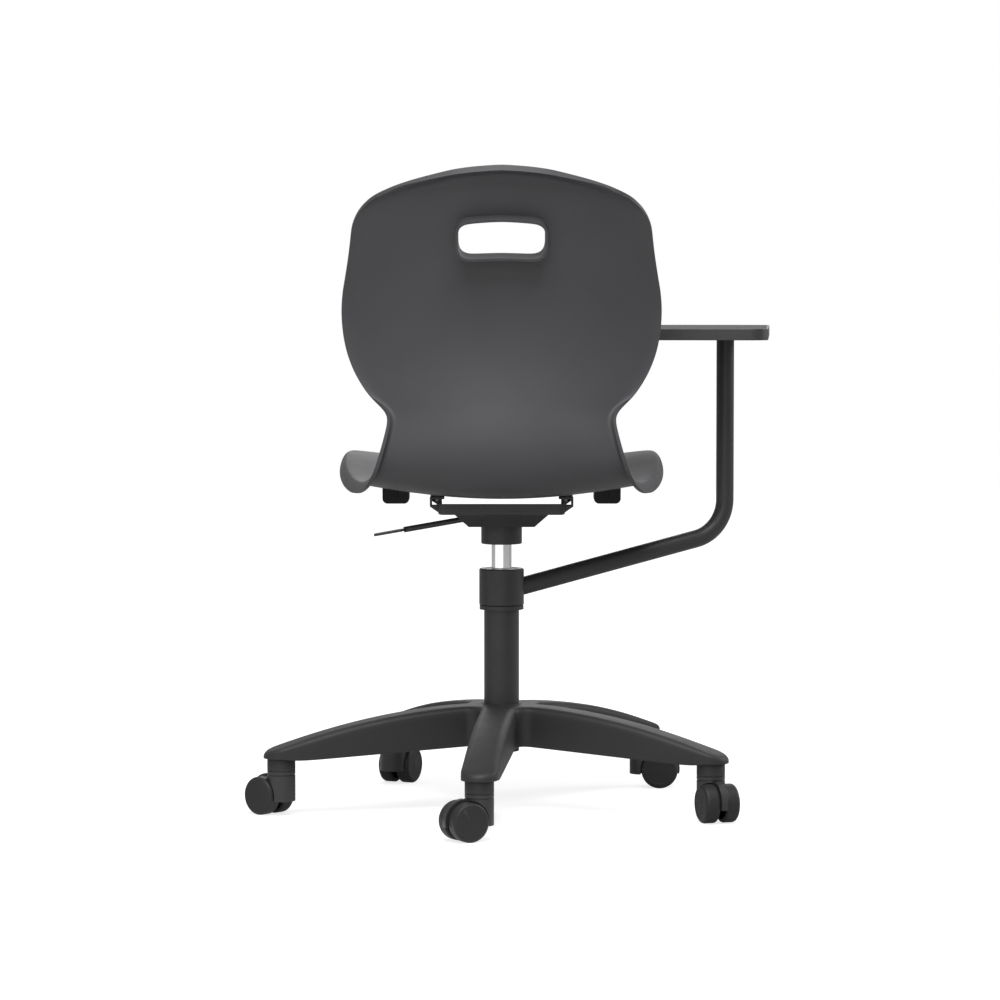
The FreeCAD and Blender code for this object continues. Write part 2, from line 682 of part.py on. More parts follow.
def loft(body, kind, sections):
    feature = body.newObject(kind, body.Name + "_loft")
    feature.Profile = sections[0]
    feature.Sections = sections[1:]
    feature.Ruled = True
    return feature


def make_housing():
    """Pressed dish with sloping walls, the socket's hole and the lever's lugs."""
    body = new_body("mechanism_housing")
    wall = dim.housing_wall
    plate_underside = dim.plate_top - dim.plate_wall
    outer = [
        (dim.housing_bottom, dim.housing_floor_width, dim.housing_floor_depth),
        (dim.housing_knee, dim.housing_width, dim.housing_depth),
        (plate_underside, dim.housing_width, dim.housing_depth)]
    loft(body, "PartDesign::AdditiveLoft",
         [rectangle_section(body, *section) for section in outer])
    inner = [
        (dim.housing_bottom + wall, dim.housing_floor_width - wall * 2,
         dim.housing_floor_depth - wall * 2),
        (dim.housing_knee + wall, dim.housing_width - wall * 2, dim.housing_depth - wall * 2),
        (plate_underside + dim.overrun, dim.housing_width - wall * 2,
         dim.housing_depth - wall * 2)]
    loft(body, "PartDesign::SubtractiveLoft",
         [rectangle_section(body, *section) for section in inner])
    hole = new_sketch(body, "XY_Plane", dim.housing_bottom)
    draw_circle(hole, dim.spigot_diameter + dim.fit_gap * 2)
    pocket(body, hole, dim.overrun * 2, both_ways=True)
    slot = new_sketch(body, "YZ_Plane", -dim.housing_width / 2 - dim.overrun)
    drop = (dim.housing_width / 2 - dim.lever_pivot_x) * tangent(dim.lever_slope)
    middle = dim.lever_pivot_height - drop / 2
    half = dim.lever_diameter / 2 + dim.lever_play
    draw_box(slot, -half, half, middle - half, middle + half)
    pocket(body, slot, dim.housing_width / 2 - dim.lever_pivot_x, back=True)
    make_lugs(body)


def make_lugs(body):
    half = dim.lug_width / 2
    near = dim.lever_diameter / 2 + dim.lug_gap
    x = -dim.lever_pivot_x
    floor_top = dim.housing_bottom + dim.housing_wall
    for back in (False, True):
        side = near if back else -near
        plane = new_sketch(body, "XZ_Plane", -side)
        draw_box(plane, x - half, x + half, floor_top, dim.lever_pivot_height + half)
        pad(body, plane, dim.lug_thickness, back=back)
    hole = new_sketch(body, "XZ_Plane")
    draw_circle(hole, dim.lever_pin_diameter + dim.fit_gap * 2, x, dim.lever_pivot_height)
    pocket(body, hole, (near + dim.lug_thickness) * 2 + dim.overrun, both_ways=True)


def make_seat_plate():
    """Pressed plate: a shallow pan turned down at its rim, with four upturned ears."""
    body = new_body("seat_plate")
    bottom = dim.plate_top - dim.plate_height
    half_width = dim.plate_width / 2
    half_depth = dim.plate_depth / 2
    wall = dim.plate_wall
    sketch = new_sketch(body, "XY_Plane", bottom)
    draw_box(sketch, -half_width, half_width, -half_depth, half_depth)
    pad(body, sketch, dim.plate_height)
    round_edges(body, dim.plate_corner, vertical_edge_test(dim.plate_height))
    bevel_edges(body, dim.plate_rim, flat_edge_test([bottom]))
    hollow = new_sketch(body, "XY_Plane", dim.plate_top - wall)
    draw_box(hollow, wall - half_width, half_width - wall, wall - half_depth, half_depth - wall)
    pocket(body, hollow, dim.plate_height)
    for side in (-1, 1):
        for front in (False, True):
            make_ear(body, side, front, bottom)
    holes = new_sketch(body, "XY_Plane", dim.plate_top)
    for x, y, top in ear_points():
        draw_circle(holes, dim.plate_screw_diameter + dim.fit_gap * 2, x, y)
    pocket(body, holes, dim.ear_front_top - dim.plate_top + dim.overrun, back=True)


def ear_points():
    """Screw places on the ears, with the height of each pad's upper face."""
    x = dim.plate_width / 2 + dim.ear_lean - dim.ear_length / 2
    points = []
    for y, top in ((-dim.ear_offset, dim.ear_rear_top), (dim.ear_offset, dim.ear_front_top)):
        points += [(x, y, top), (-x, y, top)]
    return points


def make_ear(body, side, front, bottom):
    """One ear: a leaning strip up from the rim, and a pad turned inwards."""
    top = dim.ear_front_top if front else dim.ear_rear_top
    middle = dim.ear_offset if front else -dim.ear_offset
    wall = dim.plate_wall
    foot = dim.plate_width / 2
    knee = dim.ear_rear_top - wall * 2
    outer = foot + dim.ear_lean
    points = [
        (foot - wall, bottom + dim.plate_rim), (foot, bottom + dim.plate_rim), (outer, knee),
        (outer, top), (outer - dim.ear_length, top), (outer - dim.ear_length, top - wall),
        (outer - wall, top - wall), (outer - wall, knee + wall / 4),
        (foot - wall, dim.plate_top - wall)]
    points = [(x * side, z) for x, z in points]
    sketch = new_sketch(body, "XZ_Plane", -middle)
    draw_outline(sketch, points)
    pad(body, sketch, dim.ear_width, both_ways=True)


def make_plate_screws():
    screws = new_body("plate_screws")
    for x, y, top in ear_points():
        under = top - dim.plate_wall
        head = new_sketch(screws, "XY_Plane", under)
        draw_circle(head, dim.screw_head_diameter, x, y)
        pad(screws, head, dim.screw_head_height, back=True)
        shank = new_sketch(screws, "XY_Plane", under)
        draw_circle(shank, dim.plate_screw_diameter, x, y)
        pad(screws, shank, dim.plate_screw_length)


# Height lever, built along X from its pivot and then sloped
def lever_place():
    pivot = Vector(-float(dim.lever_pivot_x), 0, float(dim.lever_pivot_height))
    return Placement(pivot, Rotation(Vector(0, 1, 0), -float(dim.lever_slope)))


def make_lever():
    body = new_body("lever", lever_place())
    rod = new_sketch(body, "YZ_Plane", -dim.lever_rod_length)
    draw_circle(rod, dim.lever_diameter)
    pad(body, rod, dim.lever_rod_length + dim.lever_inner)
    paddle = new_sketch(body, "XY_Plane")
    half = dim.paddle_width / 2
    start = -dim.lever_rod_length + dim.lever_diameter / 2
    end = start - dim.paddle_length
    step = dim.lever_diameter / 2
    draw_outline(paddle, [
        (start, -step), (start, step), (start - dim.lever_diameter, half), (end + step, half),
        (end, half - step), (end, -half + step), (end + step, -half),
        (start - dim.lever_diameter, -half)])
    pad(body, paddle, dim.paddle_thickness, both_ways=True)
    hole = new_sketch(body, "XZ_Plane")
    draw_circle(hole, dim.lever_pin_diameter + dim.running_gap * 2)
    pocket(body, hole, dim.lever_diameter + dim.overrun, both_ways=True)

    reach = dim.lever_diameter / 2 + dim.lug_gap + dim.lug_thickness
    pin = new_body("lever_pin", lever_place())
    sketch = new_sketch(pin, "XZ_Plane")
    draw_circle(sketch, dim.lever_pin_diameter)
    pad(pin, sketch, reach * 2, both_ways=True)


# Castors, each built with its stem on the Z axis and its wheels trailing along +X
TRAIL_HEADINGS = [209, 139, 65, 0, -71]


def leg_heading(index):
    """Angle of a leg's centreline, from +X towards +Y."""
    return -90 - float(dim.base_heading) - index * 360 / float(dim.leg_count)


def castor_place(index):
    heading = math.radians(leg_heading(index))
    reach = float(dim.castor_circle)
    spot = Vector(reach * math.cos(heading), reach * math.sin(heading), 0)
    return Placement(spot, Rotation(Vector(0, 0, 1), TRAIL_HEADINGS[index % len(TRAIL_HEADINGS)]))


def axle_place(index, side):
    """Frame on the axle with its Z axis along the axle, pointing out of one side."""
    turn = Rotation(Vector(1, 0, 0), -90 * side)
    offset = Vector(float(dim.castor_trail), 0, float(dim.wheel_diameter) / 2)
    return castor_place(index) * Placement(offset, turn)


def hood_top():
    return dim.socket_bottom - dim.seat_gap


def make_hood(index):
    """Castor body: a round neck, a web between the wheels, and room for the wheels."""
    body = new_body(f"castor_{index}_hood", castor_place(index))
    axle_height = dim.wheel_diameter / 2
    top = hood_top()
    neck = new_sketch(body, "XY_Plane", dim.hood_bottom)
    draw_circle(neck, dim.socket_diameter)
    pad(body, neck, top - dim.hood_bottom)
    web = new_sketch(body, "XZ_Plane")
    draw_circle(web, dim.wheel_diameter + dim.mudguard_proud * 2, dim.castor_trail, axle_height)
    pad(body, web, dim.castor_web, both_ways=True)
    for back in (False, True):
        side = dim.castor_web / 2 if back else -dim.castor_web / 2
        room = new_sketch(body, "XZ_Plane", -side)
        draw_circle(room, dim.wheel_diameter + dim.wheel_gap * 2, dim.castor_trail, axle_height)
        pocket(body, room, dim.wheel_width * 2, back=not back)
    under = new_sketch(body, "XZ_Plane")
    reach = dim.wheel_diameter * 2
    draw_box(under, -reach, reach, -dim.overrun - dim.mudguard_proud, dim.hood_bottom)
    pocket(body, under, reach, both_ways=True)
    axle = new_sketch(body, "XZ_Plane")
    draw_circle(axle, dim.axle_diameter + dim.fit_gap * 2, dim.castor_trail, axle_height)
    pocket(body, axle, reach, both_ways=True)
    stem = new_sketch(body, "XY_Plane", top)
    draw_circle(stem, dim.stem_diameter + dim.fit_gap * 2)
    pocket(body, stem, dim.stem_root)
    groove = new_sketch(body, "XZ_Plane")
    outer = dim.socket_diameter / 2
    low = top - dim.neck_ring * 2
    draw_outline(groove, [
        (outer - dim.neck_groove, low), (outer + dim.overrun, low),
        (outer + dim.overrun, low + dim.neck_ring / 2),
        (outer - dim.neck_groove, low + dim.neck_ring / 2)])
    spin(body, groove, cut=True)


def make_castor_metal(index):
    """Stem with its grip ring, and the axle across the web."""
    top = hood_top()
    stem = dim.stem_diameter / 2
    tip = top + dim.stem_length
    neck = stem - dim.clip_thickness
    ring_top = tip - dim.clip_height / 2
    ring_bottom = ring_top - dim.clip_height
    turned(f"castor_{index}_stem", [
        (ZERO, top - dim.stem_root), (stem, top - dim.stem_root), (stem, ring_bottom),
        (neck, ring_bottom), (neck, ring_top), (stem, ring_top), (stem, tip), (ZERO, tip)],
        castor_place(index))
    ring = neck + dim.fit_gap
    turned(f"castor_{index}_stem_clip", [
        (ring, ring_bottom + dim.fit_gap), (stem, ring_bottom + dim.fit_gap),
        (stem, ring_top - dim.fit_gap), (ring, ring_top - dim.fit_gap)], castor_place(index))
    reach = axle_reach()
    axle = dim.axle_diameter / 2
    turned(f"castor_{index}_axle", [
        (ZERO, -reach), (axle, -reach), (axle, reach), (ZERO, reach)], axle_place(index, 1))


def axle_reach():
    return dim.castor_web / 2 + dim.wheel_width - dim.wheel_skin * 2


# Where the middle of a wheel's rounded edge lies, as a share of the rounding
EDGE_SHARE = 0.293


def make_wheel(index, name, side):
    """One wheel of the pair: a rim, a closed outer face and a hub, open on the inside."""
    face = dim.castor_web / 2 + dim.running_gap
    out = face + dim.wheel_width
    bore = dim.axle_diameter / 2 + dim.running_gap
    hub = bore + dim.wheel_skin
    tread = dim.wheel_diameter / 2
    rim = tread - dim.wheel_skin * 2
    pit = out - dim.wheel_skin * 2 + dim.running_gap
    turn = dim.wheel_edge * EDGE_SHARE
    turned(f"castor_{index}_wheel_{name}", [
        (bore, face), (hub, face), (hub, pit), (rim, pit), (rim, face), (tread, face),
        (tread, out - dim.wheel_edge), (tread - turn, out - turn), (tread - dim.wheel_edge, out),
        (ZERO, out), (ZERO, pit + dim.running_gap), (bore, pit + dim.running_gap)],
        axle_place(index, side))


# Five star base
def leg_top(reach):
    """Height of a leg's top: a straight fall with an arch over it."""
    span = dim.castor_circle
    fall = (dim.leg_root_top - dim.leg_tip_top) * (reach / span)
    share = float(reach) / float(span)
    return dim.leg_root_top - fall + dim.leg_arch * (4 * share * (1 - share))


def leg_bottom(reach):
    fall = dim.leg_root_bottom - dim.leg_end_bottom
    return dim.leg_root_bottom - fall * (reach / dim.castor_circle)


LEG_SHARES = [0.05, 0.3, 0.55, 0.78, 0.97]


def leg_section(body, reach, inset):
    """Upright section across a leg with sloping shoulders, open below when inset."""
    half = dim.leg_width / 2 - inset
    top = leg_top(reach) - inset
    bottom = leg_bottom(reach) - (dim.overrun if inset.value else ZERO)
    shoulder = dim.leg_shoulder
    sketch = new_sketch(body, "YZ_Plane", reach)
    if inset.value:
        draw_box(sketch, -half, half, bottom, top - shoulder / 2)
    else:
        bevel = shoulder / 3
        draw_outline(sketch, [
            (-half, bottom), (half, bottom), (half, top - shoulder), (half - bevel, top - bevel),
            (half - shoulder, top), (shoulder - half, top), (bevel - half, top - bevel),
            (-half, top - shoulder)])
    return sketch


def make_base():
    """Hub and five arched legs, each hollow and ribbed below, with a castor socket."""
    body = new_body("base_star")
    column = dim.column_diameter / 2 + dim.fit_gap
    sketch = new_sketch(body, "XZ_Plane")
    draw_outline(sketch, [
        (ZERO, dim.hub_bottom), (dim.hub_radius, dim.hub_bottom),
        (dim.hub_radius, dim.hub_top), (ZERO, dim.hub_top)])
    spin(body, sketch)
    originals = []
    stations = [dim.castor_circle * share for share in LEG_SHARES]
    leg = loft(body, "PartDesign::AdditiveLoft",
               [leg_section(body, reach, ZERO) for reach in stations])
    leg.Ruled = False
    originals.append(leg)
    doc.recompute()
    tip_radius = dim.socket_diameter / 2 + dim.tip_lip
    tip = new_sketch(body, "XY_Plane", dim.leg_tip_bottom)
    draw_circle(tip, tip_radius * 2, dim.castor_circle)
    originals.append(pad(body, tip, dim.leg_tip_top - dim.leg_tip_bottom))
    slope = new_sketch(body, "XZ_Plane")
    end = dim.castor_circle + tip_radius
    draw_outline(slope, [
        (dim.castor_circle, dim.leg_tip_top), (end, dim.leg_end_top),
        (end + dim.overrun, dim.leg_end_top), (end + dim.overrun, dim.leg_tip_top)])
    originals.append(pocket(body, slope, tip_radius * 4, both_ways=True))
    socket = new_sketch(body, "XY_Plane", dim.socket_bottom)
    draw_circle(socket, dim.socket_diameter, dim.castor_circle)
    originals.append(pad(body, socket, dim.leg_tip_top - dim.socket_bottom))
    hollow_stations = [dim.hub_radius + dim.leg_wall * 2] + stations[1:4] + [
        dim.castor_circle - dim.socket_diameter / 2 - dim.leg_wall]
    hollow = loft(body, "PartDesign::SubtractiveLoft",
                  [leg_section(body, reach, dim.leg_wall) for reach in hollow_stations])
    originals.append(hollow)
    doc.recompute()
    return body, originals


# Moulded shell
# The spine is the sitter's side of the shell in the middle plane, from the front edge
# of the seat to the top of the back: shares of the seat's reach and of the shell's height.
SPINE_SHARES = [
    (1.00, 0.000), (0.975, 0.038), (0.890, 0.062), (0.710, 0.066), (0.390, 0.041),
    (0.040, 0.006), (-0.300, -0.015), (-0.540, -0.016), (-0.712, 0.011), (-0.806, 0.070),
    (-0.820, 0.143), (-0.776, 0.245), (-0.724, 0.358), (-0.703, 0.460), (-0.724, 0.585),
    (-0.789, 0.721), (-0.875, 0.857), (-0.957, 0.970), (-0.980, 1.000)]

# Half width of the shell along the spine: share of the spine's length, then share of the
# seat's or the back's greatest half width.
WIDTH_SHARES = [
    (0.00, 0.94), (0.06, 0.985), (0.13, 1.0), (0.20, 0.998), (0.25, 0.985), (0.30, 0.954),
    (0.35, 0.912), (0.40, 0.866), (0.45, 0.815), (0.50, 0.778), (0.545, 0.752), (0.582, 0.726),
    (0.601, 0.716), (0.619, 0.755), (0.645, 0.858), (0.685, 0.948), (0.733, 0.994),
    (0.780, 1.000), (0.83, 0.985), (0.88, 0.966), (0.94, 0.944), (1.00, 0.922)]

# Rise of the edges towards the sitter: share of the spine's length, then share of the
# half width.
DISH_SHARES = [
    (0.0, 0.05), (0.1, 0.075), (0.25, 0.090), (0.38, 0.10), (0.47, 0.16), (0.55, 0.20),
    (0.62, 0.22), (0.75, 0.20), (0.88, 0.15), (1.0, 0.11)]

# How much of the seat's turned-down edge is present along the spine.
LIP_SHARES = [
    (0.0, 0.55), (0.1, 0.85), (0.25, 1.0), (0.38, 0.95), (0.46, 0.45), (0.54, 0.0), (1.0, 0.0)]

# Shares along the spine where the seat's width turns into the back's, where the top's
# crown begins and where the front's bow ends, and the share across that stays flat.
BLEND_SHARES = (0.4, 0.6)
CROWN_SHARE = 0.72
BOW_SHARE = 0.25
FLAT_SHARE = 0.78
STEP_SHARE = 0.002
CURVE_STEPS = 400


def smooth_curve(pairs):
    """A function through pairs of places and values, smooth between them."""
    curve = Part.BSplineCurve()
    curve.interpolate([Vector(place, value, 0) for place, value in pairs])
    span = curve.LastParameter - curve.FirstParameter
    table = [curve.value(curve.FirstParameter + span * step / CURVE_STEPS)
             for step in range(CURVE_STEPS + 1)]

    def value_at(place):
        for low, high in zip(table, table[1:]):
            if place <= high.x:
                share = (place - low.x) / (high.x - low.x)
                return low.y + (high.y - low.y) * max(share, 0)
        return table[-1].y
    return value_at


def ease(share):
    """Rise from 0 to 1 with level ends."""
    share = min(max(share, 0.0), 1.0)
    return share * share * (3 - 2 * share)


def quarter_round(share):
    """Fall from 1 to 0 along a quarter circle, and 0 past its end."""
    return 1 - math.sqrt(1 - (1 - min(share, 1)) ** 2)


class ShellForm:
    """The sitter's side of the shell as a function of two shares, across and along."""

    def __init__(self):
        reach = float(dim.seat_reach)
        low = float(dim.seat_front_height)
        rise = float(dim.shell_height) - low
        self.spine = Part.BSplineCurve()
        self.spine.interpolate(
            [Vector(0, y * reach, low + z * rise) for y, z in SPINE_SHARES])
        self.length = self.spine.length()
        self.width_share = smooth_curve(WIDTH_SHARES)
        self.dish_share = smooth_curve(DISH_SHARES)
        self.lip_share = smooth_curve(LIP_SHARES)
        self.seat = float(dim.seat_half_width)
        self.back = float(dim.shell_half_width)

    def half_width(self, along):
        """Half width at a distance along the spine, with rounded corners at both ends."""
        share = along / self.length
        blend = (share - BLEND_SHARES[0]) / (BLEND_SHARES[1] - BLEND_SHARES[0])
        widest = self.seat + (self.back - self.seat) * ease(blend)
        corner = float(dim.corner_width) * quarter_round(along / float(dim.corner_run))
        left = max(self.length - along, 0)
        shoulder = float(dim.shoulder_width) * quarter_round(left / float(dim.shoulder_run))
        return widest * self.width_share(share) - corner - shoulder

    def point(self, across, along_share):
        """Point at a share across, -1 to 1, and a share along, 0 to 1."""
        along = along_share * self.length
        half = self.half_width(along)
        lip = self.lip_share(along_share)
        roll = float(dim.back_roll) + (float(dim.seat_roll) - float(dim.back_roll)) * lip
        drop = float(dim.back_lip) + (float(dim.seat_lip) - float(dim.back_lip)) * lip
        side = abs(across)
        flat = FLAT_SHARE
        dish = self.dish_share(along_share) * half
        if side <= flat:
            x = (half - roll) * side / flat
            rise = dish * (x / half) ** 2
        else:
            last = math.radians(float(dim.back_turn) + float(dim.seat_turn - dim.back_turn) * lip)
            angle = last * (side - flat) / (1 - flat)
            x = half - roll + roll * math.sin(angle) / math.sin(last)
            rise = dish * (x / half) ** 2 - drop * (1 - math.cos(angle)) / (1 - math.cos(last))
        share = x / self.back
        crown_blend = ease((along_share - CROWN_SHARE) / (1 - CROWN_SHARE))
        crown = float(dim.top_crown) * crown_blend * share ** 2
        bow = float(dim.front_bow) * ease(1 - along_share / BOW_SHARE) * (x / self.seat) ** 2
        place = along - crown + bow
        curl_start = self.length - float(dim.curl_length)
        curl = max(0.0, along - curl_start) / float(dim.curl_length)
        rise -= float(dim.top_curl) * curl ** 2 * math.sqrt(max(0.0, 1 - share ** 2))
        spot = self.spine.parameterAtDistance(
            min(max(place, 0.0), self.length), self.spine.FirstParameter)
        centre = self.spine.value(spot)
        tangent_here = self.spine.tangent(spot)[0]
        normal = Vector(0, tangent_here.z, -tangent_here.y)
        return Vector(math.copysign(x, across), 0, 0) + centre + normal * rise

    def normal(self, across, along_share):
        """Unit normal towards the sitter."""
        step = STEP_SHARE
        across = min(max(across, -1 + 2 * step), 1 - 2 * step)
        along_share = min(max(along_share, 2 * step), 1 - 2 * step)
        wide = self.point(across + step, along_share) - self.point(across - step, along_share)
        high = self.point(across, along_share + step) - self.point(across, along_share - step)
        normal = high.cross(wide)
        normal.normalize()
        return normal


def knots_for(count, degree):
    """Clamped uniform knots and their multiplicities for this many poles."""
    spans = count - degree
    knots = [step / spans for step in range(spans + 1)]
    return knots, [degree + 1] + [1] * (spans - 1) + [degree + 1]


def cubic_sheet(rows):
    """A face from rows of poles, cubic along them, and straight across where there are two."""
    surface = Part.BSplineSurface()
    across_degree = min(3, len(rows) - 1)
    row_knots, row_counts = knots_for(len(rows), across_degree)
    column_knots, column_counts = knots_for(len(rows[0]), 3)
    surface.buildFromPolesMultsKnots(rows, row_counts, column_counts, row_knots,
                                     column_knots, False, False, across_degree, 3)
    return surface.toShape()


def shares_across():
    """Shares across the shell: even over the flat part, closer over the rolled edge."""
    flat_steps = 5
    roll_steps = 4
    half = [FLAT_SHARE * step / flat_steps for step in range(flat_steps)]
    half += [FLAT_SHARE + (1 - FLAT_SHARE) * step / roll_steps for step in range(roll_steps + 1)]
    return [-share for share in reversed(half[1:])] + half


# Shares along the shell where its surface is set out, closer at both ends and at the waist
ALONG_SHARES = [
    0, 0.012, 0.03, 0.055, 0.09, 0.14, 0.19, 0.24, 0.29, 0.34, 0.39, 0.44, 0.49, 0.53, 0.56,
    0.58, 0.6, 0.62, 0.64, 0.67, 0.71, 0.76, 0.81, 0.86, 0.9, 0.93, 0.955, 0.975, 0.99, 1]


def shell_solid(form, above, below):
    """Closed shell between the form moved towards and away from the sitter."""
    across = shares_across()
    along = ALONG_SHARES
    front = []
    rear = []
    for share_across in across:
        points = [form.point(share_across, share) for share in along]
        faces = [form.normal(share_across, share) for share in along]
        front.append([point + normal * above for point, normal in zip(points, faces)])
        rear.append([point - normal * below for point, normal in zip(points, faces)])

    def rim(cells):
        """Straight strip between the two skins along one side."""
        return cubic_sheet([[front[row][column] for row, column in cells],
                            [rear[row][column] for row, column in cells]])

    rows = range(len(across))
    columns = range(len(along))
    faces = [cubic_sheet(front), cubic_sheet(rear)]
    faces.append(rim([(0, column) for column in columns]))
    faces.append(rim([(rows[-1], column) for column in columns]))
    faces.append(rim([(row, 0) for row in rows]))
    faces.append(rim([(row, columns[-1]) for row in rows]))
    skin = Part.makeShell([face for sheet in faces for face in sheet.Faces])
    skin.sewShape()
    solid = Part.makeSolid(skin)
    if solid.Volume < 0:
        solid.reverse()
    return solid


def slot_frame(form):
    """Frame on the shell's wall at the middle of the hand slot, with Z towards the rear."""
    share = 1 - float(dim.slot_drop) / form.length
    centre = form.point(0, share)
    forward = form.normal(0, share)
    middle = centre - forward * (float(dim.shell_wall) / 2)
    side = Vector(-1, 0, 0)
    return middle, side, forward.cross(side), forward * -1


def slot_prism(form, grow, start, depth):
    """Rounded four sided prism along the wall's normal, grown outwards on every side."""
    middle, side, up, rearward = slot_frame(form)
    half_width = float(dim.slot_width) / 2 + grow
    half_height = float(dim.slot_height) / 2 + grow
    upper = float(dim.slot_upper_corner) + grow
    lower = float(dim.slot_lower_corner) + grow

    def spot(x, y):
        return middle + side * x + up * y + rearward * start

    edges = []
    last = None
    first = None
    for x_sign, y_sign, radius in ((1, 1, upper), (-1, 1, upper), (-1, -1, lower), (1, -1, lower)):
        corner_x = x_sign * half_width
        corner_y = y_sign * half_height
        across = spot(corner_x, corner_y - y_sign * radius)
        level = spot(corner_x - x_sign * radius, corner_y)
        inset = radius * (1 - math.sqrt(0.5))
        bend = spot(corner_x - x_sign * inset, corner_y - y_sign * inset)
        begin, end = (across, level) if x_sign == y_sign else (level, across)
        if last is not None:
            edges.append(Part.makeLine(last, begin))
        else:
            first = begin
        edges.append(Part.Arc(begin, bend, end).toShape())
        last = end
    edges.append(Part.makeLine(last, first))
    return Part.Face(Part.Wire(edges)).extrude(rearward * depth)


def screw_bore(diameter, length, x, y, z):
    """Round cut for an upright screw, with the gap of a bolted fit."""
    gap = float(dim.fit_gap)
    place = Vector(float(x), float(y), float(z))
    return Part.makeCylinder(float(diameter) / 2 + gap, float(length) + gap, place)


def make_shell(form):
    """One moulding: seat and back, the hand slot with its collar, and screw bosses."""
    wall = float(dim.shell_wall)
    plain = shell_solid(form, 0, wall)
    collar_wall = float(dim.slot_collar_wall)
    depth = float(dim.slot_collar_depth) + wall / 2
    shape = plain.fuse(slot_prism(form, collar_wall, 0, depth))
    through = depth + wall * 2
    shape = shape.cut(slot_prism(form, 0, -wall * 2, through + wall))
    for x, y, top in ear_points():
        boss = Part.makeCylinder(
            float(dim.boss_radius), float(dim.seat_lip) * 2, Vector(float(x), float(y), float(top)))
        under = boss.cut(plain)
        shape = shape.fuse(min(under.Solids, key=lambda piece: piece.CenterOfMass.z))
        length = dim.plate_screw_length - dim.plate_wall
        shape = shape.cut(screw_bore(dim.plate_screw_diameter, length, x, y, top))
    for x, y in buffer_points():
        length = dim.buffer_screw_length
        shape = shape.cut(screw_bore(dim.buffer_screw_diameter, length, x, y, dim.block_bottom))
    feature = doc.addObject("Part::Feature", "seat_shell")
    feature.Label = "seat_shell"
    feature.Shape = shape
    PARTS.append(feature)


def buffer_points():
    """Places of the buffer blocks' screws."""
    y = dim.block_length / 2 - dim.block_rear
    return [(-dim.block_offset, y), (dim.block_offset, y)]


def make_blocks(form):
    """Buffer blocks that fit up against the shell's underside."""
    gap = float(dim.seat_gap)
    tool = shell_solid(form, 0, float(dim.shell_wall) + gap)
    half = dim.block_width / 2
    for name, (middle, y) in zip(("left", "right"), buffer_points()):
        body = doc.addObject("PartDesign::Body", f"block_form_{name}")
        sketch = new_sketch(body, "XY_Plane", dim.block_bottom)
        draw_box(sketch, middle - half, middle + half, -dim.block_rear,
                 dim.block_length - dim.block_rear)
        pad(body, sketch, dim.seat_front_height + dim.seat_lip * 2 - dim.block_bottom)
        bottom = flat_edge_test([dim.block_bottom])
        round_edges(body, dim.block_corner,
                    lambda edge: bottom(edge) and edge.BoundBox.XLength < edge.BoundBox.YLength)
        rib = new_sketch(body, "XZ_Plane", dim.block_rear)
        rib_half = dim.block_rib / 2
        draw_box(rib, middle - rib_half, middle + rib_half, dim.block_bottom + dim.block_corner,
                 dim.seat_front_height)
        pad(body, rib, dim.block_rib_depth)
        doc.recompute()
        pieces = body.Shape.cut(tool).Solids
        block = min(pieces, key=lambda piece: piece.CenterOfMass.z)
        place = (middle, y, dim.block_bottom)
        shank = screw_bore(dim.buffer_screw_diameter, dim.buffer_screw_length, *place)
        head = screw_bore(dim.screw_head_diameter, dim.screw_head_height, *place)
        feature = doc.addObject("Part::Feature", f"buffer_block_{name}")
        feature.Label = f"buffer_block_{name}"
        feature.Shape = block.cut(shank).cut(head)
        PARTS.append(feature)


def make_buffer_screws():
    screws = new_body("buffer_screws")
    for x, y in buffer_points():
        head = new_sketch(screws, "XY_Plane", dim.block_bottom)
        draw_circle(head, dim.screw_head_diameter, x, y)
        pad(screws, head, dim.screw_head_height)
        shank = new_sketch(screws, "XY_Plane", dim.block_bottom)
        draw_circle(shank, dim.buffer_screw_diameter, x, y)
        pad(screws, shank, dim.buffer_screw_length)


def make_base_star():
    body, originals = make_base()
    originals += make_ribs(body)
    repeat_round(body, originals, dim.leg_count)
    bore = new_sketch(body, "XY_Plane", dim.hub_bottom)
    draw_circle(bore, dim.column_diameter + dim.fit_gap * 2)
    pocket(body, bore, dim.hub_top * 2, both_ways=True)
    body.Placement = Placement(Vector(), Rotation(Vector(0, 0, 1), leg_heading(0)))


def make_ribs(body):
    """Cross ribs and the stem's bore under the first leg."""
    features = []
    first = dim.hub_radius + dim.leg_wall * 2
    last = dim.castor_circle - dim.socket_diameter / 2 - dim.leg_wall
    pitch = (last - first) / (dim.rib_count + 1)
    half = dim.leg_width / 2 - dim.leg_wall / 2
    for index in range(1, int(float(dim.rib_count)) + 1):
        reach = first + pitch * index
        rib = new_sketch(body, "YZ_Plane", reach)
        draw_box(rib, -half, half, leg_bottom(reach) + dim.leg_wall,
                 leg_top(reach) - dim.leg_shoulder)
        features.append(pad(body, rib, dim.rib_thickness, both_ways=True))
    bore = new_sketch(body, "XY_Plane", dim.socket_bottom)
    draw_circle(bore, dim.stem_diameter + dim.running_gap * 2, dim.castor_circle)
    features.append(pocket(body, bore, dim.stem_length + dim.overrun / 2, back=True))
    return features


make_base_star()
for castor in range(int(float(dim.leg_count))):
    make_hood(castor)
    make_castor_metal(castor)
    make_wheel(castor, "a", 1)
    make_wheel(castor, "b", -1)
floor, floor_top = make_column()
make_rod(floor, floor_top)
make_lift()
make_valve_pin()
make_collar()
make_arm_tube()
make_tablet()
make_taper_socket()
make_housing()
make_seat_plate()
make_plate_screws()
make_lever()
shell_form = ShellForm()
make_shell(shell_form)
make_blocks(shell_form)
make_buffer_screws()
doc.recompute()

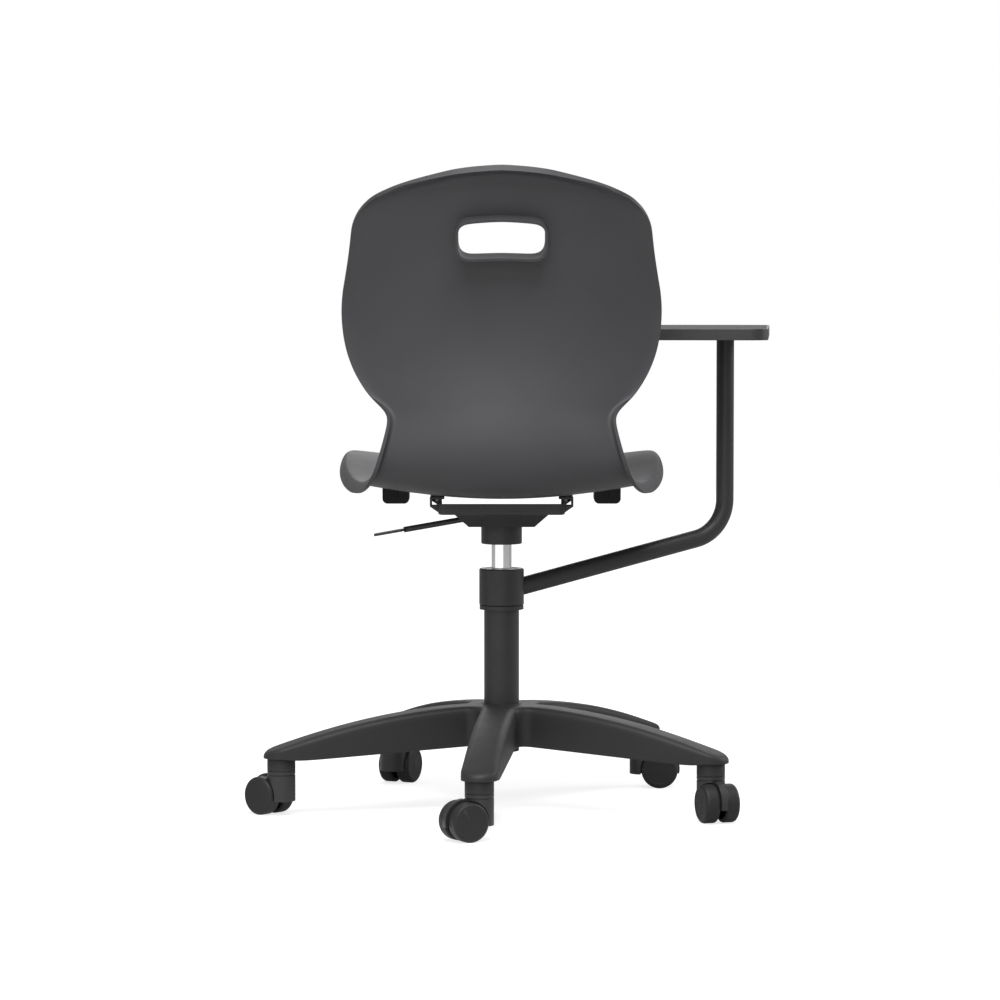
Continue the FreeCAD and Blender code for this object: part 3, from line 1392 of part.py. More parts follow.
# Nothing is written unless every object and every piece is sound
for item in doc.Objects:
    if "Invalid" in item.State or "Error" in item.State:
        raise RuntimeError(f"{item.Name} did not build")
for item in PARTS:
    if item.Shape.isNull() or not item.Shape.isValid() or not item.Shape.Solids:
        raise RuntimeError(f"{item.Label} is not a sound solid")

os.makedirs("parts", exist_ok=True)
for item in PARTS:
    item.Shape.exportStep(f"parts/{item.Label}.step")
print(f"{len(PARTS)} pieces written")
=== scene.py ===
# %% [markdown]
# # Dressing a swivel chair with a writing tablet
# The chair's working parts come ready made at their real size: one object for each part, grouped in
# bodies that the joints move. This lesson gives them their looks. The moulded shell, the base, the
# castors and the fittings are shaped again with rounded edges where that shows, and every surface gets
# a material made of nodes. All lengths are in metres, and MM turns a size in millimetres into metres.

# %% Load the fixed frame
import json
import math

import bmesh
import bpy
import numpy as np
from mathutils import Matrix, Vector
from mathutils.bvhtree import BVHTree


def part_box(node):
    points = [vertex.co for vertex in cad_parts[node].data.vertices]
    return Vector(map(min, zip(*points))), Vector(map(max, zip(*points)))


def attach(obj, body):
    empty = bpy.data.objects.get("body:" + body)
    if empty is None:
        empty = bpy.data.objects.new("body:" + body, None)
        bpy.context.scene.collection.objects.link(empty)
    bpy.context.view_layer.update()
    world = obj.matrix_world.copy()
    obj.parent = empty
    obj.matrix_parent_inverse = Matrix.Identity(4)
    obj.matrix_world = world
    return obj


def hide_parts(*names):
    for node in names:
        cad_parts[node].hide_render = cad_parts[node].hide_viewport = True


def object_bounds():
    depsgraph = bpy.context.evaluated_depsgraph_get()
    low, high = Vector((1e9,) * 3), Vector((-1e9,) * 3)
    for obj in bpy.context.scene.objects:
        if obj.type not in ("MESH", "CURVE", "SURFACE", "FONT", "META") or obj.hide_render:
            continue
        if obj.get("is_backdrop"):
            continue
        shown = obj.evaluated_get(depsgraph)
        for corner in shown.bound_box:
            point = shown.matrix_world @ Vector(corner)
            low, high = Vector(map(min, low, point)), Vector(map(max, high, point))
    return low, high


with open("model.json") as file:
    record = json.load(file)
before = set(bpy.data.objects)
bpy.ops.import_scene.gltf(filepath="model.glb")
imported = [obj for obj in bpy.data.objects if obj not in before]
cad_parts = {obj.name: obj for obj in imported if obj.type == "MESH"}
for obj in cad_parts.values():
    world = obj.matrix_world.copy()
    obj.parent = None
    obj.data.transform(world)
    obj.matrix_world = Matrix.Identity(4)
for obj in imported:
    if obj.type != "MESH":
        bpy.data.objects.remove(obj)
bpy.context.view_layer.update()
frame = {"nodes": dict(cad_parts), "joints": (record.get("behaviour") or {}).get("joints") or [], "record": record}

MM = 0.001

# %% [markdown]
# ## The camera
# The picture was taken from behind the chair with a long lens, which keeps the base from looking
# large beside the seat. A wide lens close by would show the same outline with a stronger perspective.
# The distance, height and tilt here come from lining the chair's own corners up with the picture.

# %% Camera
CAMERA_DISTANCE = 5500 * MM
CAMERA_HEIGHT = 746 * MM
CAMERA_ASIDE = -2.2 * MM
CAMERA_TILT_DOWN = 3.26
CAMERA_LENS = 142.13
SENSOR_WIDTH = 36


def link(thing):
    """Put an object in the scene."""
    bpy.context.scene.collection.objects.link(thing)
    return thing


camera_data = bpy.data.cameras.new("camera")
camera_data.sensor_width = SENSOR_WIDTH
camera_data.lens = CAMERA_LENS
camera = link(bpy.data.objects.new("camera", camera_data))
camera.location = (CAMERA_ASIDE, -CAMERA_DISTANCE, CAMERA_HEIGHT)
camera.rotation_euler = (math.radians(90 - CAMERA_TILT_DOWN), 0, 0)
bpy.context.scene.camera = camera
bpy.context.scene.view_settings.view_transform = "Standard"
print("camera", round(CAMERA_DISTANCE, 2), "m behind the column with a", CAMERA_LENS, "mm lens")

# %% [markdown]
# ## Small tools for nodes
# A material is a tree of nodes. Typing out every node and link hides what the material is, so a few
# helpers do the typing: they add a node, link its inputs or give them values, do a sum, blend two
# values or colours, and turn a screen colour into the linear values that the renderer works with.

# %% Node helpers
NODE_SPACING = (220, 200)
FINISHES = {}


def screen_colour(code):
    """Linear colour of a six digit screen colour."""
    values = [int(code[place:place + 2], 16) / 255 for place in (0, 2, 4)]
    return [v / 12.92 if v <= 0.04045 else ((v + 0.055) / 1.055) ** 2.4 for v in values] + [1.0]


def fill(tree, socket, value):
    """Link an input to another socket, or give it a value."""
    if isinstance(value, bpy.types.NodeSocket):
        tree.links.new(value, socket)
    else:
        socket.default_value = value


def fill_named(tree, sockets, **values):
    """Fill inputs by name, with _ for each space."""
    for name, value in values.items():
        fill(tree, sockets[name.replace("_", " ")], value)


def add_node(tree, kind, place, settings=None, **inputs):
    """Add a node at a column and row, set its properties and fill its inputs."""
    node = tree.nodes.new(kind)
    node.location = (place[0] * NODE_SPACING[0], -place[1] * NODE_SPACING[1])
    for name, value in (settings or {}).items():
        setattr(node, name, value)
    fill_named(tree, node.inputs, **inputs)
    return node


def calculate(tree, place, operation, first, second):
    """The result of a sum on two values or sockets."""
    node = add_node(tree, "ShaderNodeMath", place, {"operation": operation})
    fill(tree, node.inputs[0], first)
    fill(tree, node.inputs[1], second)
    return node.outputs[0]


def blend_values(tree, place, low, high, mask, ends=(0.0, 1.0), interpolation="LINEAR"):
    """A value that runs from low to high as the mask runs between its two ends."""
    node = add_node(tree, "ShaderNodeMapRange", place, {"interpolation_type": interpolation}, Value=mask,
                    From_Min=ends[0], From_Max=ends[1], To_Min=low, To_Max=high)
    return node.outputs["Result"]


def blend_colours(tree, place, first, second, mask):
    """A colour between two, by a mask."""
    node = add_node(tree, "ShaderNodeMix", place, {"data_type": "RGBA"}, Factor=mask)
    fill(tree, node.inputs[6], first)
    fill(tree, node.inputs[7], second)
    return node.outputs[2]


def new_finish(name):
    """Make a material and list it by name. Gives its node tree and its shader's inputs."""
    FINISHES[name] = bpy.data.materials.new(name)
    FINISHES[name].use_nodes = True
    tree = FINISHES[name].node_tree
    return tree, tree.nodes["Principled BSDF"].inputs


def object_place(tree, place=(-6, 0)):
    """Where a point lies on its own object."""
    return add_node(tree, "ShaderNodeTexCoord", place).outputs["Object"]


def new_group(name, inputs, outputs):
    """An empty node group with number inputs and outputs, and its two end nodes."""
    tree = bpy.data.node_groups.new(name, "ShaderNodeTree")
    for label, value in inputs.items():
        socket = tree.interface.new_socket(label, in_out="INPUT", socket_type="NodeSocketFloat")
        socket.default_value = value
    for label in outputs:
        tree.interface.new_socket(label, in_out="OUTPUT", socket_type="NodeSocketFloat")
    start = tree.nodes.new("NodeGroupInput")
    end = tree.nodes.new("NodeGroupOutput")
    end.location = (6 * NODE_SPACING[0], 0)
    return tree, start.outputs, end.inputs


print("node helpers ready")

# %% [markdown]
# ## The studio
# The picture has a white background with no edge between floor and wall. A floor that is only painted
# white would turn grey far from the lamps, so the floor and the sky also glow, but only for rays that
# come straight from the camera, through glass or from a mirror. Near the chair the floor glows less,
# which keeps its shadow. A mirror sees white on one side and grey elsewhere, because polished tube in
# an evenly white room would look like flat grey paint. The lamps are large and soft: a strong one
# overhead and behind the back, and weaker ones beside the camera, on the far side and on the tablet's
# side. The last two stand low and reach under the tablet.

# %% Studio
FLOOR_SIZE = 8.0
FLOOR_COLOUR = 0.5
FLOOR_GLOW = (0.76, 0.93)
GLOW_REACH = (0.7, 3.0)
SKY_LIGHT = 0.35
SEEN_SKY = 1.0
MIRRORED_GREY = 0.2
BRIGHT_SIDE = (-0.5, -0.86, 0.0)
BRIGHT_EDGE = (0.58, 0.74)
LAMP_TARGET = (0, 0, 0.45)


def rays_that_see_white(tree, mirrored):
    """1 for rays from the camera or glass, a share for a mirror's, else 0."""
    path = add_node(tree, "ShaderNodeLightPath", (0, 1)).outputs
    glossy = calculate(tree, (1, 2), "MULTIPLY", path["Is Glossy Ray"], mirrored)
    seen = calculate(tree, (2, 1), "MAXIMUM", path["Is Camera Ray"], glossy)
    return calculate(tree, (3, 1), "MAXIMUM", seen, path["Is Transmission Ray"])


def bright_side(tree, direction):
    """1 where a direction lies on the studio's bright side, MIRRORED_GREY where it doesn't."""
    level = add_node(tree, "ShaderNodeVectorMath", (-3, 2), {"operation": "NORMALIZE"})
    tree.links.new(direction, level.inputs[0])
    facing = add_node(tree, "ShaderNodeVectorMath", (-2, 2), {"operation": "DOT_PRODUCT"})
    tree.links.new(level.outputs[0], facing.inputs[0])
    facing.inputs[1].default_value = BRIGHT_SIDE
    bright = blend_values(tree, (-1, 2), 0.0, 1.0, facing.outputs["Value"], BRIGHT_EDGE, "SMOOTHSTEP")
    return blend_values(tree, (0, 2), MIRRORED_GREY, 1.0, bright)


def make_sky():
    world = bpy.data.worlds.new("studio_sky")
    world.use_nodes = True
    tree = world.node_tree
    sky = tree.nodes["Background"]
    sky.inputs["Color"].default_value = (1, 1, 1, 1)
    mirrored = bright_side(tree, add_node(tree, "ShaderNodeTexCoord", (-4, 2)).outputs["Generated"])
    strength = blend_values(tree, (4, 1), SKY_LIGHT, SEEN_SKY, rays_that_see_white(tree, mirrored))
    tree.links.new(strength, sky.inputs["Strength"])
    bpy.context.scene.world = world


def make_floor():
    tree, inputs = new_finish("studio_paper")
    place = object_place(tree, (-4, 2))
    distance = add_node(tree, "ShaderNodeVectorMath", (2, 3), {"operation": "LENGTH"})
    tree.links.new(place, distance.inputs[0])
    glow = blend_values(tree, (3, 3), *FLOOR_GLOW, distance.outputs["Value"], GLOW_REACH)
    seen = rays_that_see_white(tree, bright_side(tree, place))
    fill_named(tree, inputs, Base_Color=(FLOOR_COLOUR, FLOOR_COLOUR, FLOOR_COLOUR, 1), Roughness=1.0,
               Specular_IOR_Level=0.0, Emission_Color=(1, 1, 1, 1),
               Emission_Strength=calculate(tree, (5, 1), "MULTIPLY", seen, glow))
    bm = bmesh.new()
    bmesh.ops.create_grid(bm, x_segments=1, y_segments=1, size=FLOOR_SIZE)
    mesh = bpy.data.meshes.new("studio_floor")
    bm.to_mesh(mesh)
    bm.free()
    mesh.materials.append(FINISHES["studio_paper"])
    floor = link(bpy.data.objects.new("studio_floor", mesh))
    floor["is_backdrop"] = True


def make_lamp(name, place, size, power):
    """A square soft lamp that points at the chair."""
    data = bpy.data.lights.new(name, "AREA")
    data.size = size
    data.energy = power
    lamp = link(bpy.data.objects.new(name, data))
    lamp.location = place
    away = Vector(place) - Vector(LAMP_TARGET)
    lamp.rotation_euler = away.to_track_quat("Z", "Y").to_euler()


make_sky()
make_floor()
make_lamp("overhead_lamp", (0.0, -1.5, 3.3), 2.0, 112)
make_lamp("camera_lamp", (-1.0, -4.2, 2.5), 1.6, 26)
make_lamp("far_lamp", (0.2, 2.8, 1.6), 1.6, 12)
make_lamp("side_lamp", (2.6, 0.7, 1.5), 1.2, 26)
print("studio with", len(bpy.data.lights), "soft lamps")

# %% [markdown]
# ## Effects that the materials share
# Moulded nylon, polypropylene and powder coat are all dark and plain, and only small things tell them
# apart: the grain of the mould, slow changes of gloss where the plastic flowed, and paler edges where
# hands and shoes have rubbed. Each effect is one node group with its own inputs, so that every
# material uses the same effect at its own strength. A picture texture would repeat and have seams.

# %% Grain, flow and rubbed edges
SMUDGES_PER_CLOUD = 7.0
CLOUD_ENDS = (0.35, 0.65)
SMUDGE_ENDS = (0.42, 0.62)
FLAT_POINTINESS = 0.52


def make_grain():
    """Pebbled mould grain: round pits of one size, broken up by noise."""
    tree, inputs, outputs = new_group("mould_grain", {"Scale": 900.0}, ["Height"])
    place = object_place(tree, (0, 0))
    pits = add_node(tree, "ShaderNodeTexVoronoi", (2, 0), {"feature": "SMOOTH_F1"},
                    Vector=place, Scale=inputs["Scale"], Smoothness=0.6)
    noise = add_node(tree, "ShaderNodeTexNoise", (2, 1), Vector=place, Scale=inputs["Scale"], Detail=2.0)
    height = calculate(tree, (4, 0), "ADD", pits.outputs["Distance"], noise.outputs["Fac"])
    tree.links.new(height, outputs["Height"])
    return tree


def make_flow():
    """Slow clouds across a moulding, and finer smudges where it is handled."""
    tree, inputs, outputs = new_group("mould_flow", {"Scale": 7.0}, ["Clouds", "Smudges"])
    place = object_place(tree, (0, 0))
    clouds = add_node(tree, "ShaderNodeTexNoise", (2, 0), Vector=place, Scale=inputs["Scale"],
                      Detail=3.0, Distortion=0.4)
    finer = calculate(tree, (1, 1), "MULTIPLY", inputs["Scale"], SMUDGES_PER_CLOUD)
    smudges = add_node(tree, "ShaderNodeTexNoise", (2, 1), Vector=place, Scale=finer,
                       Detail=4.0, Roughness=0.65)
    for label, source, ends in (("Clouds", clouds, CLOUD_ENDS), ("Smudges", smudges, SMUDGE_ENDS)):
        tree.links.new(blend_values(tree, (4, 0), 0.0, 1.0, source.outputs["Fac"], ends), outputs[label])
    return tree


def make_rubbed():
    """1 on edges that stand out, in patches."""
    tree, inputs, outputs = new_group("rubbed_edges", {"Reach": 0.12}, ["Mask"])
    shape = add_node(tree, "ShaderNodeNewGeometry", (0, 0)).outputs["Pointiness"]
    limit = calculate(tree, (1, 1), "ADD", inputs["Reach"], FLAT_POINTINESS)
    edges = blend_values(tree, (2, 0), 0.0, 1.0, shape, (FLAT_POINTINESS, limit))
    patches = add_node(tree, "ShaderNodeTexNoise", (2, 2), Vector=object_place(tree, (0, 2)),
                       Scale=38.0, Detail=3.0)
    tree.links.new(calculate(tree, (4, 0), "MULTIPLY", edges, patches.outputs["Fac"]), outputs["Mask"])
    return tree


GRAIN = make_grain()
FLOW = make_flow()
RUBBED = make_rubbed()
print("shared effects:", [group.name for group in bpy.data.node_groups])

# %% [markdown]
# ## Dark plastics and powder coat
# The shell is charcoal polypropylene with a fine, even grain. The base is black nylon filled with
# glass, the castors are a smoother nylon, and the steel parts wear a satin powder coat whose surface is
# very slightly wavy. One function makes them all, because they differ only in colour, gloss and grain.

# %% Coated and moulded materials
GRAIN_STRENGTH = 0.35


def use_group(tree, group, place, **inputs):
    return add_node(tree, "ShaderNodeGroup", place, {"node_tree": group}, **inputs).outputs


def add_bump(tree, inputs, strength, depth, height):
    bump = add_node(tree, "ShaderNodeBump", (-2, 3), Strength=strength, Distance=depth, Height=height)
    tree.links.new(bump.outputs["Normal"], inputs["Normal"])


def moulded(name, dark, light, rubbed, roughness, grain, depth, specular=0.4):
    """A dark plastic or paint: two near colours in clouds, rubbed edges, grain and smudged gloss."""
    tree, inputs = new_finish(name)
    flow = use_group(tree, FLOW, (-5, 0))
    edges = use_group(tree, RUBBED, (-5, 2))
    height = use_group(tree, GRAIN, (-5, 3), Scale=grain)
    body = blend_colours(tree, (-3, 0), screen_colour(dark), screen_colour(light), flow["Clouds"])
    colour = blend_colours(tree, (-2, 0), body, screen_colour(rubbed), edges["Mask"])
    gloss = blend_values(tree, (-2, 2), *roughness, flow["Smudges"])
    fill_named(tree, inputs, Base_Color=colour, Roughness=gloss, Specular_IOR_Level=specular)
    add_bump(tree, inputs, GRAIN_STRENGTH, depth, height["Height"])


moulded("shell_plastic", "424244", "454547", "5a5a5c", (0.5, 0.53), 1100, 0.1 * MM, 0.26)
moulded("base_nylon", "2c2c2d", "2f2f30", "404042", (0.5, 0.54), 800, 0.1 * MM, 0.25)
moulded("castor_nylon", "272728", "2c2c2d", "404042", (0.38, 0.5), 1400, 0.06 * MM)
moulded("wheel_nylon", "272728", "2a2a2b", "414142", (0.46, 0.56), 700, 0.1 * MM, 0.25)
moulded("black_steel", "2e2e30", "323233", "424243", (0.4, 0.48), 420, 0.05 * MM, 0.3)
moulded("buffer_rubber", "0c0c0e", "101012", "1c1c1e", (0.16, 0.22), 500, 0.03 * MM, 0.12)
moulded("tablet_edge", "2c2c2d", "313132", "464647", (0.4, 0.5), 900, 0.05 * MM)
print("moulded and coated materials:", len(FINISHES) - 1)

# %% [markdown]
# ## Metals, acetal and the tablet's laminate
# The lift's tube is polished chrome, which shows the white studio as bright and grey stripes by itself,
# so its material needs hardly more than a low roughness. Screws and axles are ground steel with fine
# rings. The tablet has a grey laminate with a fine fleck in it, whose shallow grain leaves it nearly matt.

# %% Metals and laminate
RING_STRENGTH = 0.12
RING_DEPTH = 0.02 * MM
FLECK_ENDS = (0.38, 0.66)
LAMINATE_GLOSS = (0.8, 0.82)
LAMINATE_SPECULAR = 0.12
LAMINATE_STRENGTH = 0.25
LAMINATE_DEPTH = 0.06 * MM


def metal(name, colour, roughness, rings):
    """Bare metal with fine turned rings along the world's upright axis."""
    tree, inputs = new_finish(name)
    stretched = add_node(tree, "ShaderNodeMapping", (-5, 0), Vector=object_place(tree),
                         Scale=(1, 1, rings))
    lines = add_node(tree, "ShaderNodeTexNoise", (-4, 0), Vector=stretched.outputs[0],
                     Scale=9.0, Detail=3.0).outputs["Fac"]
    gloss = blend_values(tree, (-2, 0), *roughness, lines)
    fill_named(tree, inputs, Base_Color=screen_colour(colour), Metallic=1.0, Roughness=gloss)
    add_bump(tree, inputs, RING_STRENGTH, RING_DEPTH, lines)


def make_laminate():
    tree, inputs = new_finish("tablet_laminate")
    noise = add_node(tree, "ShaderNodeTexNoise", (-5, 0), Vector=object_place(tree),
                     Scale=700.0, Detail=5.0, Roughness=0.7)
    flecks = blend_values(tree, (-4, 0), 0.0, 1.0, noise.outputs["Fac"], FLECK_ENDS)
    flow = use_group(tree, FLOW, (-6, 2), Scale=4.0)
    flecked = blend_colours(tree, (-3, 0), screen_colour("48484a"), screen_colour("535356"), flecks)
    clouded = blend_colours(tree, (-2, 0), flecked, screen_colour("4e4e50"), flow["Clouds"])
    gloss = blend_values(tree, (-2, 2), *LAMINATE_GLOSS, flow["Smudges"])
    fill_named(tree, inputs, Base_Color=clouded, Roughness=gloss, Specular_IOR_Level=LAMINATE_SPECULAR)
    height = use_group(tree, GRAIN, (-6, 3), Scale=520.0)
    add_bump(tree, inputs, LAMINATE_STRENGTH, LAMINATE_DEPTH, height["Height"])


metal("chrome_tube", "f2f2f3", (0.06, 0.12), 40)
metal("bright_steel", "b9babc", (0.22, 0.36), 30)
metal("dark_zinc", "5c5c5d", (0.34, 0.5), 8)
moulded("white_acetal", "dadad4", "e4e4df", "f0f0ec", (0.3, 0.4), 900, 0.03 * MM, 0.5)
make_laminate()
print("all materials:", list(FINISHES))

# %% [markdown]
# ## Making a piece
# Every new piece goes through the same last steps: its mesh is finished, it gets a material, it is put
# on the body that carries it, and the working part it stands for is hidden. The parts that already have
# the right shape keep it and only take a material, from the slot that the record names for them. What
# comes back in several pieces is a helper here too: a block, rounded edges, a wall, a smooth surface.

# %% Piece helpers
SLOT_OF_NODE = {part["node"]: part["material_slot"] for part in frame["record"]["subparts"]}
BODY_OF_NODE = {node: body for body, members in frame["record"]["behaviour"]["bodies"].items()
                for node in members}
WELD = 0.001 * MM
LEVEL = 0.99
FLAT_WEIGHT = 80


def of_type(kind, items):
    return [item for item in items if isinstance(item, kind)]


def everything(bm):
    return bm.verts[:] + bm.edges[:] + bm.faces[:]


def box_mesh(size, centre):
    bm = bmesh.new()
    bmesh.ops.create_cube(bm, size=1)
    bmesh.ops.scale(bm, verts=bm.verts, vec=size)
    bmesh.ops.translate(bm, verts=bm.verts, vec=centre)
    return bm


def round_corners(bm, corners, offset, segments=2, affect="EDGES"):
    bmesh.ops.bevel(bm, geom=corners, offset=offset, offset_type="OFFSET", segments=segments, profile=0.5,
                    affect=affect, clamp_overlap=True, material=-1)


def round_sharp_edges(bm, offset, sharp):
    """Round every edge where two faces meet at more than an angle in degrees."""
    sharp_edges = [edge for edge in bm.edges
                   if len(edge.link_faces) == 2 and edge.calc_face_angle() > math.radians(sharp)]
    round_corners(bm, sharp_edges, offset)
    return len(sharp_edges)


def finish_piece(name, bm, node, *finishes):
    """Turn a bmesh into a piece that stands for a node and rides on its body."""
    mesh = bpy.data.meshes.new(name)
    for face in bm.faces:
        face.smooth = True
    bm.to_mesh(mesh)
    bm.free()
    for finish in finishes or [SLOT_OF_NODE[node]]:
        mesh.materials.append(FINISHES[finish])
    piece = link(bpy.data.objects.new(name, mesh))
    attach(piece, BODY_OF_NODE[node])
    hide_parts(node)
    return piece


def add_wall(piece, thickness):
    """Give a sheet its thickness, inwards."""
    wall = piece.modifiers.new("wall", "SOLIDIFY")
    wall.thickness = thickness
    wall.offset = -1


def add_smoothing(piece, levels=2):
    rounding = piece.modifiers.new("smooth", "SUBSURF")
    rounding.levels = levels
    rounding.render_levels = levels
    return piece


def even_shading(piece):
    """Keep flat faces flat beside rounded edges."""
    piece.modifiers.new("even_shading", "WEIGHTED_NORMAL").weight = FLAT_WEIGHT
    return piece


for name, node in frame["nodes"].items():
    node.data.materials.clear()
    node.data.materials.append(FINISHES[SLOT_OF_NODE[name]])
print(len(frame["nodes"]), "working parts have their materials")

# %% [markdown]
# ## The moulded shell: its line and width
# Seat and back are one sheet of plastic about 5 mm thick. Seen from the side it follows a line that
# runs back from the seat's front edge, dips, turns up and leans away. Its width changes along that
# line: wide at the seat, narrow at the waist, wide at the shoulders. Sculpting such a sheet by hand is
# slow and uneven, so its line, its width and the depth of its dish are smooth lines through a few
# chosen shares, and the sheet's grid is moved onto them.

# %% Shell lines
SEAT_REACH = 232 * MM
SEAT_FRONT = 452 * MM
SHELL_TOP = 897 * MM
SEAT_HALF_WIDTH = 229.5 * MM
BACK_HALF_WIDTH = 215.8 * MM
SHELL_WALL = 5 * MM
RIM_BEAD = 3.5 * MM
BEAD_RUN = 14 * MM
BEAD_END = 2.7
BEAD_FADE = 2.2
SPINE_SHARES = [
    (1.00, 0.000), (0.975, 0.038), (0.890, 0.062), (0.710, 0.066), (0.390, 0.041),
    (0.040, 0.006), (-0.300, -0.015), (-0.540, -0.016), (-0.712, 0.011), (-0.806, 0.070),
    (-0.820, 0.143), (-0.776, 0.245), (-0.724, 0.358), (-0.703, 0.460), (-0.724, 0.585),
    (-0.789, 0.721), (-0.875, 0.857), (-0.957, 0.970), (-0.980, 1.000)]
WIDTH_SHARES = [
    (0.00, 0.94), (0.06, 0.985), (0.13, 1.0), (0.20, 0.998), (0.25, 0.985), (0.30, 0.954),
    (0.35, 0.912), (0.40, 0.866), (0.45, 0.815), (0.50, 0.778), (0.545, 0.752), (0.582, 0.726),
    (0.601, 0.716), (0.619, 0.752), (0.645, 0.854), (0.685, 0.952), (0.733, 1.004),
    (0.780, 1.005), (0.83, 0.986), (0.88, 0.964), (0.94, 0.942), (1.00, 0.922)]
DISH_SHARES = [
    (0.0, 0.05), (0.1, 0.075), (0.25, 0.090), (0.38, 0.10), (0.47, 0.16), (0.55, 0.20),
    (0.62, 0.22), (0.75, 0.20), (0.88, 0.15), (1.0, 0.11)]
LIP_SHARES = [
    (0.0, 0.55), (0.1, 0.85), (0.25, 1.0), (0.38, 1.0), (0.46, 0.92), (0.53, 0.8), (0.58, 0.66),
    (0.605, 0.5), (0.625, 0.2), (0.65, 0.03), (0.7, 0.0), (1.0, 0.0)]
CROWN_SHARES = [
    (0.0, 0.0), (0.125, 0.028), (0.32, 0.13), (0.43, 0.233), (0.53, 0.335), (0.61, 0.43),
    (0.676, 0.525), (0.732, 0.608), (0.782, 0.676), (0.82, 0.73), (0.85, 0.77), (0.876, 0.797),
    (0.91, 0.832), (1.0, 1.0)]


def smooth_line(points, steps=60):
    """Many points along the smooth line that passes through a few."""
    points = np.array(points, float)
    gaps = np.linalg.norm(np.diff(points, axis=0), axis=1)
    count = len(points)
    system = np.eye(count)
    target = np.zeros_like(points)
    slopes = np.diff(points, axis=0) / gaps[:, None]
    for i in range(1, count - 1):
        system[i, i - 1:i + 2] = gaps[i - 1], 2 * (gaps[i - 1] + gaps[i]), gaps[i]
        target[i] = 6 * (slopes[i] - slopes[i - 1])
    bends = np.linalg.solve(system, target)
    line = []
    for i, gap in enumerate(gaps):
        for step in np.linspace(0, gap, steps, endpoint=False):
            left = gap - step
            line.append((bends[i] * left ** 3 + bends[i + 1] * step ** 3) / (6 * gap)
                        + (points[i] / gap - bends[i] * gap / 6) * left
                        + (points[i + 1] / gap - bends[i + 1] * gap / 6) * step)
    line.append(points[-1])
    return np.array(line)


def reader(pairs):
    """A function that reads the smooth line through pairs of places and values."""
    line = smooth_line(pairs)
    return lambda place: float(np.interp(place, line[:, 0], line[:, 1]))


SPINE = smooth_line([(y * SEAT_REACH, SEAT_FRONT + z * (SHELL_TOP - SEAT_FRONT)) for y, z in SPINE_SHARES])
SPINE_STEPS = np.linalg.norm(np.diff(SPINE, axis=0), axis=1)
SPINE_PLACES = np.concatenate([[0], np.cumsum(SPINE_STEPS)])
SPINE_LENGTH = SPINE_PLACES[-1]
width_share = reader(WIDTH_SHARES)
dish_share = reader(DISH_SHARES)
lip_share = reader(LIP_SHARES)
crown_share = reader(CROWN_SHARES)
print("the shell's line is", round(SPINE_LENGTH, 3), "m long")

# %% [markdown]
# ## The moulded shell: its surface
# The sheet is dished from side to side and its edges roll over, which is what makes thin plastic stiff.
# The roll is small on the back and deep along the seat. The top edge is crowned and curls back a
# little, so that a hand or a jacket slides over it.

# %% Shell surface
SEAT_LIP = 19 * MM
SEAT_ROLL = 12 * MM
SEAT_TURN = 78
BACK_LIP = 3 * MM
BACK_ROLL = 20 * MM
BACK_TURN = 25
TOP_CURL = 11 * MM
CURL_LENGTH = 22 * MM
TOP_CROWN = 71 * MM
CROWN_START = 0.72
FRONT_BOW = 10 * MM
BOW_SHARE = 0.25
SHOULDER_RUN = 48 * MM
SHOULDER_WIDTH = 38 * MM
CORNER_RUN = 80 * MM
CORNER_WIDTH = 62 * MM
BLEND_SHARES = (0.4, 0.6)
SLOT_FIELD = 70 * MM


def mix(low, high, share):
    return low + (high - low) * share


def ease(share):
    """Rise from 0 to 1 with level ends."""
    share = min(max(share, 0.0), 1.0)
    return share * share * (3 - 2 * share)


def quarter_round(share):
    """Fall from 1 to 0 along a quarter circle."""
    return 1 - math.sqrt(1 - (1 - min(share, 1)) ** 2)


def half_width(along):
    share = along / SPINE_LENGTH
    blend = ease((share - BLEND_SHARES[0]) / (BLEND_SHARES[1] - BLEND_SHARES[0]))
    widest = mix(SEAT_HALF_WIDTH, BACK_HALF_WIDTH, blend)
    corner = CORNER_WIDTH * quarter_round(along / CORNER_RUN)
    shoulder = SHOULDER_WIDTH * quarter_round(max(SPINE_LENGTH - along, 0) / SHOULDER_RUN)
    return widest * width_share(share) - corner - shoulder


def shell_point(column, along):
    """Point on the sitter's side. Columns run to 1 near the slot, to 2 on the flat, to 3 on the roll."""
    share = along / SPINE_LENGTH
    half = half_width(along)
    lip = lip_share(share)
    roll = mix(BACK_ROLL, SEAT_ROLL, lip)
    drop = mix(BACK_LIP, SEAT_LIP, lip)
    last = math.radians(mix(BACK_TURN, SEAT_TURN, lip))
    side = abs(column)
    angle = last * max(side - 2, 0)
    if side <= 1:
        x = side * SLOT_FIELD
    elif side <= 2:
        x = mix(SLOT_FIELD, half - roll, side - 1)
    else:
        x = half - roll + roll * math.sin(angle) / math.sin(last)
    lift = dish_share(share) * half * (x / half) ** 2
    lift -= drop * (1 - math.cos(angle)) / (1 - math.cos(last))
    across = x / BACK_HALF_WIDTH
    crown = TOP_CROWN * ease((share - CROWN_START) / (1 - CROWN_START)) * crown_share(across)
    bow = FRONT_BOW * ease(1 - share / BOW_SHARE) * (x / SEAT_HALF_WIDTH) ** 2
    curl = max(0.0, along - SPINE_LENGTH + CURL_LENGTH) / CURL_LENGTH
    lift -= TOP_CURL * curl ** 2 * math.sqrt(max(0.0, 1 - across ** 2))
    place = min(max(along - crown + bow, 0.0), SPINE_LENGTH)
    y, z = (float(np.interp(place, SPINE_PLACES, SPINE[:, axis])) for axis in (0, 1))
    step = min(max(np.searchsorted(SPINE_PLACES, place), 1), len(SPINE_STEPS)) - 1
    slope = (SPINE[step + 1] - SPINE[step]) / SPINE_STEPS[step]
    return Vector((math.copysign(x, column), y + slope[1] * lift, z - slope[0] * lift))


